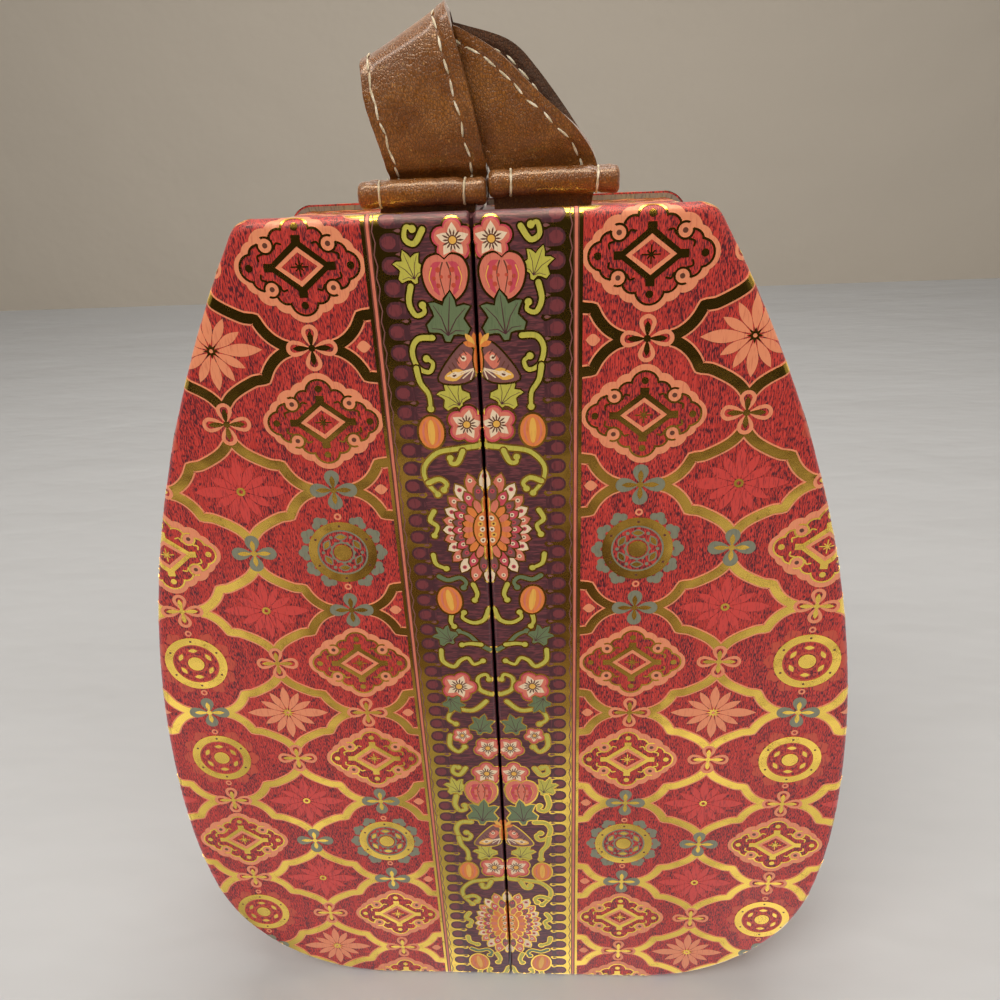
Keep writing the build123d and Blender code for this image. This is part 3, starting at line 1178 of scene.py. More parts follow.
                # The strip covers the bare one.
                art.fill(bud, Ink.BARE)
                art.fill(shifted(bud, self.strip_edge + 0.7, spot[1]), Ink.CORAL)
            elif i % 4 == 0:
                art.add(roundels[Ink.GREY] if turn == 3 else medallion, spot)
            else:
                art.add(medallion if turn == 3 else roundels[Ink.EMBER], spot)


@dataclass
class StripArt:
    """The aubergine strip along the seam, with its gilt rules and its mirrored flowers and fruit.

    The motifs are generic ones, in an arrangement of their own that repeats every 156 mm.
    """

    repeat: float = 156.0
    finger_pitch: float = 4.85
    fringe: Point = (16.1, 21.9)
    outer: float = 24.0
    stem: float = 1.35

    def rules(self, art: Artwork, low: float, high: float, inner: bool = True) -> None:
        """Draw the gilt rules and the fringe beside them.

        Args:
            art: The artwork that they go on.
            low: Where they start along the strip.
            high: Where they end.
            inner: Whether the fringe is drawn too.
        """
        if inner:
            self.draw_fringe(art, low, high)
        for x0, x1, ink in ((self.fringe[1], 23.2, Ink.BROWN), (22.2, 22.85, Ink.SALMON), (23.2, self.outer, Ink.FOIL)):
            art.fill(rectangle(x0, low, x1, high), ink)

    def draw_fringe(self, art: Artwork, low: float, high: float) -> None:
        """Draw a gilt band with a waved line, and dark fingers with beads and buds that reach into it.

        Args:
            art: The artwork that it goes on.
            low: Where it starts along the strip.
            high: Where it ends.
        """
        pitch = self.finger_pitch
        art.fill(rectangle(self.fringe[0], low, self.fringe[1], high), Ink.FOIL)
        waves = [(21.1 + 0.55 * (k % 2), low + (k + 1) * pitch / 2) for k in range(int(2 * (high - low) / pitch) - 1)]
        art.stroke(waves, 0.3, Ink.MAUVE)
        bead = rosette((0.93, 1.0, 1.0, 0.93, 1.0, 1.0), 4, 45)
        for k in range(int((high - low) / pitch) + 1):
            y = low + (k + 0.5) * pitch
            tip = [(18.4 + 1.85 * cos(t), y + 1.95 * sin(t)) for t in (pi * (n / 8 - 0.5) for n in range(9))]
            art.fill([(15.2, y - 1.95), *tip, (15.2, y + 1.95)], Ink.AUBERGINE)
            art.fill([(18.2 + 1.6 * u, y + 1.4 * v) for u, v in bead], Ink.WINE)
            art.fill(shifted(petal(0, 3.2, 1.9, 0, 0.35), 14.6, y + pitch / 2), Ink.FOIL)
            art.fill(shifted(petal(0, 1.7, 0.8, 0, 0.35), 15.3, y + pitch / 2), Ink.MAUVE)

    def ivy(self, ink: Ink = Ink.IVY) -> Artwork:
        """A lobed leaf, 9.6 by 11.6 mm, with veins.

        Args:
            ink: The leaf's ink.

        Returns:
            The motif.
        """
        half = [
            (0, 6.2), (1.1, 4.4), (1.5, 3.0), (3.3, 3.6), (4.7, 3.4), (3.7, 1.6),
            (3.3, 0.5), (4.9, -1.6), (4.3, -3.2), (2.3, -3.1), (1.2, -3.4), (0.5, -5.0),
        ]
        art = Artwork()
        art.edged(both_sides(half), ink, 0.5)
        for x, y in ((0, 5.0), (3.6, 2.8), (3.7, -2.3), (-3.6, 2.8), (-3.7, -2.3)):
            art.stroke([(0, -3.6), (x * 0.45, (y - 2.4) * 0.5), (x, y)], 0.3, Ink.AUBERGINE, 0.5)
        return art

    def blossom(self) -> Artwork:
        """A five-petalled blossom, 9 mm across, with dark stamens round a golden eye.

        Returns:
            The motif.
        """
        art = Artwork()
        turns = [90 + 72 * k for k in range(5)]
        for reach, wide, ink in ((2.75, 2.65, Ink.FOIL), (2.75, 2.2, Ink.ROSE), (2.4, 1.95, Ink.SALMON)):
            for turn in turns:
                art.disc(wide, ink, ray(reach, radians(turn)), 16)
        for turn in turns:
            art.fill(petal(0.4, 3.9, 2.2, turn, 0.4), Ink.CREAM)
        for k in range(14):
            art.fill(petal(0.8, 2.3 + 0.35 * (k % 2), 0.42, 360 * k / 14), Ink.BROWN)
        art.disc(1.15, Ink.BROWN, steps=16)
        art.disc(0.85, Ink.AMBER, steps=14)
        return art

    def plum(self) -> Artwork:
        """A heart-shaped fruit, 10 mm across, ribbed and shaded.

        Returns:
            The motif.
        """
        art = Artwork()
        whole = both_sides(
            curve([(0, 4.0), (1.6, 5.1), (3.9, 4.2), (5.0, 1.4), (4.2, -2.2), (2.2, -4.4), (0, -5.0)], 4)
        )
        cheek = blob((0.7, 3.6), (2.6, 3.4), (3.7, 1.0), (3.2, -1.9), (1.4, -3.6), (2.2, -0.4), (1.9, 1.8))
        art.fill([(1.1 * x, 1.1 * y - 0.05) for x, y in whole], Ink.FOIL)
        art.fill(whole, Ink.SALMON)
        for sx in (-1, 1):
            art.fill([(sx * x, y) for x, y in cheek], Ink.ROSE)
            art.stroke(curve([(sx * 0.5, 3.4), (sx * 1.2, 0.6), (sx * 0.4, -3.6)], 4), 0.35, Ink.BROWN, 0.5)
            art.stroke(curve([(sx * 3.0, 2.4), (sx * 3.6, 0.2), (sx * 2.9, -2.2)], 4), 0.3, Ink.AMBER, 0.5)
            for x, y, size in ((1.6, 1.9, 0.62), (2.6, 0.1, 0.5), (1.7, -1.5, 0.55), (0.9, 0.4, 0.4)):
                art.disc(size, Ink.EMBER, (sx * x, y), 9)
        return art

    def apricot(self) -> Artwork:
        """A ribbed orange fruit, 6 by 8 mm.

        Returns:
            The motif.
        """
        art = Artwork()
        art.edged(circle(3.1, tall=4.15, steps=26), Ink.ORANGE, 0.5)
        for wide, tall, steps, ink in (
            (2.3, 4.15 * 0.86, 22, Ink.SALMON), (1.75, 4.15 * 0.84, 20, Ink.ORANGE), (0.85, 4.15 * 0.78, 18, Ink.AMBER)
        ):
            art.disc(wide, ink, steps=steps, tall=tall)
        return art

    def moth(self) -> Artwork:
        """The right-hand wings of a moth.

        Returns:
            The motif.
        """
        art = Artwork()
        wing = blob(
            (0.4, 1.6), (2.4, 4.6), (4.8, 3.2), (8.4, -1.4), (9.4, -4.2), (6.0, -5.0), (2.4, -4.4), (0.4, -2.0)
        )
        art.edged(wing, Ink.MAUVE)
        art.fill(blob((1.2, 1.2), (3.0, 2.6), (5.0, 0.2), (3.4, -1.6)), Ink.SALMON)
        art.fill(blob((3.0, -2.2), (5.2, -1.4), (7.6, -2.6), (8.0, -3.9), (5.4, -4.3)), Ink.AMBER)
        art.fill(blob((4.2, -2.6), (5.6, -2.1), (7.0, -3.0), (5.6, -3.7)), Ink.CREAM)
        art.disc(0.5, Ink.BROWN, (5.8, -2.9), 8)
        art.disc(0.7, Ink.CREAM, (3.4, 1.0), 10)
        art.disc(0.3, Ink.BROWN, (3.4, 1.0), 8)
        for k in range(5):
            art.stroke([(3.4 + 0.9 * k, 2.9 - 0.95 * k), (2.7 + 0.9 * k, 1.9 - 1.0 * k)], 0.28, Ink.BROWN)
        for k in range(4):
            art.stroke([(1.0, -1.4), (2.0 + 1.8 * k, -4.0 + 0.3 * k)], 0.3, Ink.CREAM)
        art.edged(circle(1.0, (0.1, 0.6), 3.4, 16), Ink.ORANGE, 0.3)
        for k, reach in enumerate((3.4, 4.0, 3.2)):
            feeler = petal(0, reach, 1.3, 82 - 30 * k, 0.6)
            art.fill(shifted(feeler, 0.3, 3.6), Ink.AMBER if k % 2 else Ink.ORANGE)
        return art

    def great_flower(self) -> Artwork:
        """A large flower of layered, eyed petals, 33 mm high.

        Returns:
            The motif.
        """
        art = Artwork()
        # A layer is (share of the full reach, width of a petal, number of petals, their inks, degrees off level).
        layers = (
            (1.0, 2.9, 13, (Ink.CREAM, Ink.SALMON), 0.0),
            (0.78, 2.5, 12, (Ink.MAUVE, Ink.ROSE), 7.0),
            (0.56, 2.2, 11, (Ink.ORANGE, Ink.SALMON), 0.0),
        )
        for share, wide, count, inks, skew in layers:
            petals = []
            for turn in (-90 + skew + 180 * k / (count - 1) for k in range(count)):
                reach = share * (11.5 + 5.2 * abs(sin(radians(turn))) ** 3)
                shape = petal(reach * 0.3, reach, wide * share**0.3, turn, 0.72)
                petals.append((shape, ray(reach - 1.9, radians(turn))))
            for shape, _ in petals:
                art.fill(grown(shape, 0.45), Ink.FOIL)
            for k, (shape, eye) in enumerate(petals):
                art.fill(shape, inks[k % 2])
                if share > 0.6:
                    art.disc(0.62, Ink.CREAM if k % 2 else Ink.ROSE, eye, 8)
                    art.disc(0.28, Ink.BROWN, eye, 6)
        art.edged(circle(3.4, tall=5.2, steps=24), Ink.ORANGE, 0.4)
        for k in range(5):
            seed = (1.2 + 0.5 * (k % 2), -3.2 + 1.6 * k)
            art.disc(0.75, Ink.AMBER if k % 2 else Ink.CREAM, seed, 10)
            art.disc(0.33, Ink.BROWN, seed, 6)
        return art

    def scroll(self, art: Artwork, points: Sequence[Point], ink: Ink) -> None:
        """Draw a curling stem with a gilt edge.

        Args:
            art: The artwork that it goes on.
            points: Points that it passes.
            ink: Its ink.
        """
        line = curve(points, 5)
        art.stroke(line, self.stem + 0.8, Ink.FOIL, 0.25)
        art.disc(self.stem * 0.95, Ink.FOIL, line[-1], 12)
        art.stroke(line, self.stem, ink, 0.35)
        art.disc(self.stem * 0.62, ink, line[-1], 12)

    def flowers(self, art: Artwork, top: float) -> None:
        """Draw one repeat of the flowers, hanging down from a height.

        Args:
            art: The artwork that they go on.
            top: The height that the repeat starts from.
        """
        stems = (
            (Ink.LIME, (10.6, -3.2), (12.6, -6.0), (14.6, -5.0), (14.2, -2.6), (12.8, -3.0)),
            (Ink.LIME, (14.2, -15.0), (14.9, -18.6), (13.6, -21.4), (11.6, -20.8), (11.9, -19.2)),
            (Ink.LIME, (10.2, -26.6), (13.6, -26.8), (15.2, -29.6), (14.2, -33.4), (11.6, -34.6),
             (10.6, -32.6), (12.0, -31.4)),
            (Ink.LIME, (14.6, -33.6), (14.0, -37.0), (12.2, -40.0), (12.0, -43.6)),
            (Ink.LIME, (0.6, -53.2), (6.4, -54.0), (11.4, -55.0), (14.8, -58.6), (14.6, -62.6), (12.0, -66.2)),
            (Ink.LIME, (14.2, -63.0), (11.4, -62.0), (9.6, -63.4), (10.4, -65.0)),
            (Ink.LIME, (5.0, -54.6), (6.4, -57.6), (8.0, -57.8), (8.2, -56.4)),
            (Ink.LIME, (13.4, -71.0), (14.6, -73.6), (12.8, -75.4), (13.8, -78.0)),
            (Ink.LIME, (14.6, -83.8), (14.0, -86.6), (11.4, -88.0)),
            (Ink.IVY, (13.6, -90.4), (11.2, -91.6), (8.0, -90.8), (6.4, -92.4), (7.2, -94.0)),
            (Ink.LIME, (4.6, -93.0), (3.6, -96.0), (4.4, -98.0)),
            (Ink.LIME, (0.8, -101.0), (2.2, -104.4), (5.2, -105.4), (8.0, -103.8), (7.6, -102.0)),
            (Ink.LIME, (11.0, -102.4), (11.4, -105.0), (10.6, -106.6)),
            (Ink.IVY, (1.0, -114.6), (4.0, -112.6), (6.6, -109.6), (9.4, -108.2)),
            (Ink.LIME, (3.4, -112.8), (6.4, -112.4), (8.8, -112.8)),
            (Ink.LIME, (14.8, -114.6), (14.6, -118.4), (11.6, -120.4), (9.6, -118.2),
             (7.4, -117.4), (5.8, -119.6), (3.2, -118.4)),
            (Ink.LIME, (1.4, -130.4), (4.6, -128.6), (5.0, -124.6), (2.6, -123.2), (1.8, -125.0)),
            (Ink.LIME, (3.0, -133.0), (7.0, -136.4), (12.4, -136.0), (14.6, -139.6), (12.4, -141.6)),
            (Ink.LIME, (14.4, -146.0), (14.8, -150.0), (12.4, -152.6), (10.4, -150.6)),
        )
        for ink, *points in stems:
            self.scroll(art, shifted(points, 0, top), ink)
        ivy, lime, blossom, apricot = self.ivy(), self.ivy(Ink.LIME), self.blossom(), self.apricot()
        for motif, x, z, turn, size in (
            (blossom, 4.2, -5.6, 0, 0.95), (lime, 14.0, -11.2, -20, 0.68), (self.plum(), 6.3, -13.6, 0, 1.0),
            (ivy, 6.2, -22.6, 6, 1.0), (lime, 6.2, -40.6, -28, 0.72), (apricot, 12.3, -49.6, 0, 1.0),
            (blossom, 3.6, -47.8, 12, 0.98), (apricot, 11.2, -98.0, -8, 1.06), (ivy, 13.2, -109.8, -40, 0.66),
            (blossom, 10.6, -127.6, 20, 1.06), (ivy, 12.6, -134.0, 150, 0.62), (ivy, 4.8, -142.2, 14, 0.72),
            (blossom, 10.8, -146.2, 30, 0.62), (blossom, 3.4, -151.2, 36, 0.86),
        ):
            art.add(motif, (x, top + z), turn, size)
        art.add(self.moth(), (0, top - 32.6))
        art.add(self.great_flower(), (0, top - 76.4))

    def draw(self, art: Artwork, top: float, low: float) -> None:
        """Draw the whole strip on a front cover.

        Args:
            art: The artwork that it goes on.
            top: Its upper end.
            low: Its lower end.
        """
        self.rules(art, low, top + 7)
        for k in range(ceil((top - low) / self.repeat)):
            self.flowers(art, top - k * self.repeat)


def wrap_grid(name: str, columns: int, rows: int, place: Callable[[float, float], Vector]) -> Piece:
    """Lay a primitive grid over a surface, and close it where its edges meet.

    Args:
        name: The piece's name.
        columns: Faces one way.
        rows: Faces the other way.
        place: Gives the point in millimetres for 0 to 1 along the columns and the rows.

    Returns:
        The piece.
    """
    deselect()
    bpy.ops.mesh.primitive_grid_add(x_subdivisions=columns, y_subdivisions=rows, size=1)
    piece = bpy.context.object
    piece.name = piece.data.name = name
    for vertex in piece.data.vertices:
        vertex.co = place(vertex.co.x + 0.5, vertex.co.y + 0.5) * MM
    face_outwards(piece, gap=2e-6)
    return piece


@dataclass
class Strap:
    """One leather handle: a loop with both feet in the top of its half, sewn along both edges.

    A station is (x, y, height, tilt, swing, share): one edge's place, and where the other edge lies from it.
    A seam is (place across, height that its stitches start from).
    """

    side: str
    edge_x: float
    towards: int
    stations: Sequence[tuple[float, ...]]
    seams: Sequence[Point]
    stitch: float
    pitch: float
    width: float = 23.4
    thickness: float = 1.9
    top: float = 262.0
    middle_y: float = -0.25
    plain: float = 0.8
    columns: int = 52
    rows: int = 150
    thread_half_width: float = 0.3
    thread_half_depth: float = 0.2
    thread_above: float = 0.07
    thread_sink: float = 0.1

    def __post_init__(self) -> None:
        """Set out both edges as smooth lines."""
        near, far = [], []
        for x, y, height, tilt, *rest in self.stations:
            swing, share = radians(rest[0] if rest else 0.0), rest[1] if len(rest) > 1 else 1.0
            start = Vector((self.edge_x + x, self.middle_y + y, self.top + height))
            lean = radians(tilt)
            reach = Vector((self.towards * cos(lean) * cos(swing), sin(swing), self.towards * sin(lean) * cos(swing)))
            near.append(tuple(start))
            far.append(tuple(start + reach * self.width * share))
        self.near = [Vector(p) for p in curve(near, 14)]
        self.far = [Vector(p) for p in curve(far, 14)]
        middles = [(a + b) / 2 for a, b in zip(self.near, self.far)]
        self.reach = [0.0]
        for last, middle in zip(middles, middles[1:]):
            self.reach.append(self.reach[-1] + (middle - last).length)

    def at(self, across: float, along: float) -> Vector:
        """A point of the flat middle of the leather.

        Args:
            across: Place across the strap, 0 to 1.
            along: Distance along it.

        Returns:
            The point.
        """
        k = min(sum(1 for r in self.reach[1:-1] if r <= along), len(self.reach) - 2)
        t = (along - self.reach[k]) / (self.reach[k + 1] - self.reach[k])
        return self.near[k].lerp(self.near[k + 1], t).lerp(self.far[k].lerp(self.far[k + 1], t), across)

    def frame_at(self, across: float, along: float) -> tuple[Vector, Vector, Vector]:
        """Where a point of the leather lies and how it is turned.

        Args:
            across: Place across the strap, 0 to 1.
            along: Distance along it.

        Returns:
            The point, the direction along the strap and the leather's normal there.
        """
        point = self.at(across, along)
        forward = (self.at(across, along + 0.4) - self.at(across, along - 0.4)).normalized()
        over = (self.at(across + 0.02, along) - self.at(across - 0.02, along)).normalized()
        return point, forward, over.cross(forward).normalized()

    def clear(self, height: float) -> float:
        """How clear of the slot a height is: 0 up to 6 mm above the top board, 1 from 12 mm on."""
        return max(0.0, min(1.0, (height - self.top - 6) / 6))

    def surface(self, across: float, along: float) -> Vector:
        """A point of the worked leather, which waves a little and puckers beside its stitches.

        Args:
            across: Place across the strap, 0 to 1.
            along: Distance along it.

        Returns:
            The point.
        """
        along = min(max(along, 0.5), self.reach[-1] - 0.5)
        point, _, normal = self.frame_at(across, along)
        pull = 0.13 * sin(2 * pi * along / self.pitch)
        pucker = sum(pull * fade((across - seam) * self.width, 1.3) for seam, _ in self.seams)
        wave = 0.22 * sin(along * 0.31 + across * 5.1) * sin(along * 0.117 + 1.3) + 0.35 * sin(pi * across)
        return point + normal * self.clear(point.z) * (pucker + wave)

    def fullness(self, across: float, height: float) -> float:
        """How thick the leather is: its turned edges are full, and its seams pull it in.

        Args:
            across: Place across the strap, 0 to 1.
            height: Height of the point.

        Returns:
            A share of the greatest thickness.
        """
        edge = min(across, 1 - across) * self.width
        turned = 1.0 if edge < 2.2 else max(0.0, 1 - (edge - 2.2) / 0.8)
        groove = sum(fade((across - seam) * self.width, 0.7) for seam, _ in self.seams)
        return self.plain + self.clear(height) * (0.2 * turned - 0.14 * min(groove, 1.0))

    def build(self, body: str, leather: Finish, inner: Finish, thread: Finish) -> None:
        """Make the strap and its stitches.

        Args:
            body: The half that carries it.
            leather: The strap's finish.
            inner: The finish of the face inside the loop, a darker copy of the leather: painted shade.
            thread: The stitches' finish.
        """
        name, wide = f"{self.side}_strap_leather", self.columns + 1
        strap = wrap_grid(name, self.columns, self.rows, lambda u, v: self.surface(u, v * self.reach[-1]))
        full = strap.vertex_groups.new(name="fullness")
        for vertex in strap.data.vertices:
            share = self.fullness((vertex.index % wide) / self.columns, vertex.co.z / MM)
            full.add([vertex.index], share, "REPLACE")
        thickness = self.thickness / self.plain * MM
        shape_with(strap, "SOLIDIFY", thickness=thickness, offset=0, use_even_offset=True, vertex_group="fullness")
        # The first half of the faces is one side of the leather, and the crest lies outside the loop; the faces inside
        # the loop take the painted shade.
        faces = strap.data.polygons
        shell = self.columns * self.rows
        crest = max(range(2 * shell), key=lambda k: faces[k].center.z)
        for number in range(2 * shell):
            faces[number].material_index = int((number < shell) != (crest < shell))
        shape_with(strap, "BEVEL", width=0.8 * MM, segments=4, limit_method="ANGLE", angle_limit=radians(60))
        finish_piece(strap, leather, body, 50)
        strap.data.materials.append(inner.make())
        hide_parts(f"{self.side}_strap")
        self.sew(body, thread)

    def sew(self, body: str, thread: Finish) -> None:
        """Copy one stitch along the seams, on both faces of the leather.

        Args:
            body: The half that carries the stitches.
            thread: Their finish.
        """
        deselect()
        bpy.ops.mesh.primitive_uv_sphere_add(segments=8, ring_count=6, radius=1)
        stitch = bpy.context.object
        shape = [v.co.copy() for v in stitch.data.vertices]
        faces = [tuple(p.vertices) for p in stitch.data.polygons]
        bpy.data.objects.remove(stitch)
        points, polygons = [], []
        for number, (seam, sewn_from) in enumerate(self.seams):
            for k in range(int(self.reach[-1] / self.pitch)):
                along = (k + 0.5) * self.pitch
                spot, forward, normal = self.frame_at(seam, along)
                if spot.z < self.top + sewn_from:
                    continue
                full = self.thickness / (2 * self.plain) * self.fullness(seam, spot.z) + self.thread_above
                spot = self.surface(seam, along)
                skew = radians(7 * (-1) ** k + 4 * sin(k * 2.3 + number))
                forward = (Matrix.Rotation(skew, 3, normal) @ forward).normalized()
                over = forward.cross(normal)
                half = self.stitch / 2 * (1 + 0.06 * sin(k * 1.7))
                for face in (-1, 1):
                    start = len(points)
                    for corner in shape:
                        # A stitch is pulled down into the leather at both ends.
                        rise = full - self.thread_sink * corner.z**2 + corner.y * self.thread_half_depth
                        side = over * corner.x * self.thread_half_width
                        points.append((spot + forward * corner.z * half + side + normal * face * rise) * MM)
                    polygons += [tuple(start + c for c in polygon[::face]) for polygon in faces]
        piece = piece_from(f"{self.side}_strap_stitches", points, polygons)
        face_outwards(piece)
        finish_piece(piece, thread, body, 80)


@dataclass
class Roll:
    """A leather roll that pinches a strap's leg, tied near both ends."""

    name: str
    start_x: float
    axis_y: float
    axis_z: float
    opening: float
    length: float = 30.6
    radius: float = 3.15
    binding_spacing: float = 20.3
    thread_radius: float = 0.27
    thread_sweep: float = radians(262)
    bow: float = 0.3

    def tied_at(self) -> Point:
        """Where the two ties go along the roll."""
        return (self.length - self.binding_spacing) / 2, (self.length + self.binding_spacing) / 2

    def width_at(self, along: float) -> float:
        """How thick the roll is: bulged ends, and a waist under each tie.

        Args:
            along: Distance along the roll.

        Returns:
            Its radius there.
        """
        waist = sum(0.1 * fade(along - tie, 0.75) for tie in self.tied_at())
        swell = 0.02 * sin(along * 0.9) + 0.015 * sin(along * 2.1 + self.start_x)
        return self.radius * (1 - waist - 0.03 + swell)

    def middle(self, along: float) -> Vector:
        """The roll's axis, which bows a little."""
        t = along / self.length
        return Vector((self.start_x + along, self.axis_y, self.axis_z + self.bow * (1 - (2 * t - 1) ** 2) - 0.12))

    def build(self, body: str, leather: Finish, thread: Finish) -> list[bpy.types.Object]:
        """Make the roll and its two ties.

        Args:
            body: The half that carries it.
            leather: The roll's finish.
            thread: The ties' finish.

        Returns:
            The ties.
        """
        # A place of the profile is (distance along the roll, share of its radius).
        ends = ((0.0, 0.0), (0.0, 0.45), (0.08, 0.72), (0.3, 0.88), (0.7, 0.97), (1.2, 1.0))
        steps = 46
        body_run = [(1.2 + (self.length - 2.4) * k / steps, 1.0) for k in range(1, steps)]
        profile = list(ends) + body_run + [(self.length - s, r) for s, r in reversed(ends)]

        def place(u: float, v: float) -> Vector:
            """A point of the roll.

            Args:
                u: Place round it, 0 to 1.
                v: Place along its profile, 0 to 1.

            Returns:
                The point.
            """
            along, share = profile[round(v * (len(profile) - 1))]
            turn = 2 * pi * u
            crease = 1 - 0.012 * max(0.0, cos(3 * turn + along * 0.5)) ** 6
            radius = self.width_at(along) * share * crease
            return self.middle(along) + Vector((0, cos(turn), sin(turn))) * radius

        roll = wrap_grid(f"{self.name}_leather", 44, len(profile) - 1, place)
        finish_piece(roll, leather, body, 50)
        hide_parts(self.name)
        names = (f"{self.name}_tie_{number}" for number in (1, 2))
        return [self.tie(name, along, body, thread) for name, along in zip(names, self.tied_at())]

    def tie(self, name: str, along: float, body: str, thread: Finish) -> Piece:
        """Wind two-ply thread once round the roll, open where it meets the strap.

        Args:
            name: The tie's name.
            along: Where it goes along the roll.
            body: The half that carries it.
            thread: Its finish.

        Returns:
            The tie.
        """

        def place(u: float, v: float) -> Vector:
            """A point of the thread.

            Args:
                u: Place round it, 0 to 1.
                v: Place along it, 0 to 1.

            Returns:
                The point.
            """
            share = max(0.0, min(1.0, 24 * v, 24 * (1 - v)))
            turn = self.opening + pi + self.thread_sweep * (v - 0.5)
            out = Vector((0, cos(turn), sin(turn)))
            lean = 0.22 * sin(turn + along)
            ply = self.thread_radius * (1 + 0.13 * cos(2 * (2 * pi * u - 16 * v))) * share**0.5
            spot = self.middle(along + lean) + out * (self.width_at(along) + self.thread_radius * 0.55)
            return spot + out * ply * sin(2 * pi * u) + Vector((1, 0, 0)) * ply * cos(2 * pi * u)

        return finish_piece(wrap_grid(name, 12, 72, place), thread, body, 80)


@dataclass
class Spine:
    """The cloth spine glued across the back of both halves; the real one folds as the box opens, this one is made flat
    and carried by neither half.
    """

    half_width: float = 21.3
    low: float = 7.0
    high: float = 255.0
    inner_y: float = 26.25
    thickness: float = 0.5
    bend_half: float = 1.3
    corner: float = 4.0

    def build(self, cloth: Finish) -> None:
        """Make the cloth, flat across both halves.

        Args:
            cloth: Its finish.
        """
        # Columns crowd beside the middle line, where the real cloth folds.
        shares = [0.0, 0.03, 0.2, 0.4, 0.6, 0.74, 0.84, 0.9, 0.93, 0.945, 0.96, 0.972, 0.984, 0.993, 1.0]
        across = [s - 1 for s in shares] + [1 - s for s in reversed(shares[:-1])]

        def place(u: float, v: float) -> Vector:
            """A point of the cloth's middle.

            Args:
                u: Place across it, 0 to 1.
                v: Place up it, 0 to 1.

            Returns:
                The point.
            """
            x = across[round(u * (len(across) - 1))] * self.half_width
            z = self.low + (self.high - self.low) * v
            if v in (0.0, 1.0):
                edge = max(0.0, abs(x) - self.half_width + self.corner)
                z += (1 if v < 0.5 else -1) * (self.corner - (self.corner**2 - edge**2) ** 0.5)
            return Vector((x, self.inner_y + self.thickness / 2, z))

        piece = wrap_grid("spine_cloth", len(across) - 1, 62, place)
        shape_with(piece, "SOLIDIFY", thickness=self.thickness * MM, offset=0)
        shape_with(piece, "BEVEL", width=0.15 * MM, segments=2, limit_method="ANGLE", angle_limit=radians(60))
        finish_piece(piece, cloth, "", 40)
        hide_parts("left_spine_leaf", "right_spine_leaf")
        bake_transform(piece)


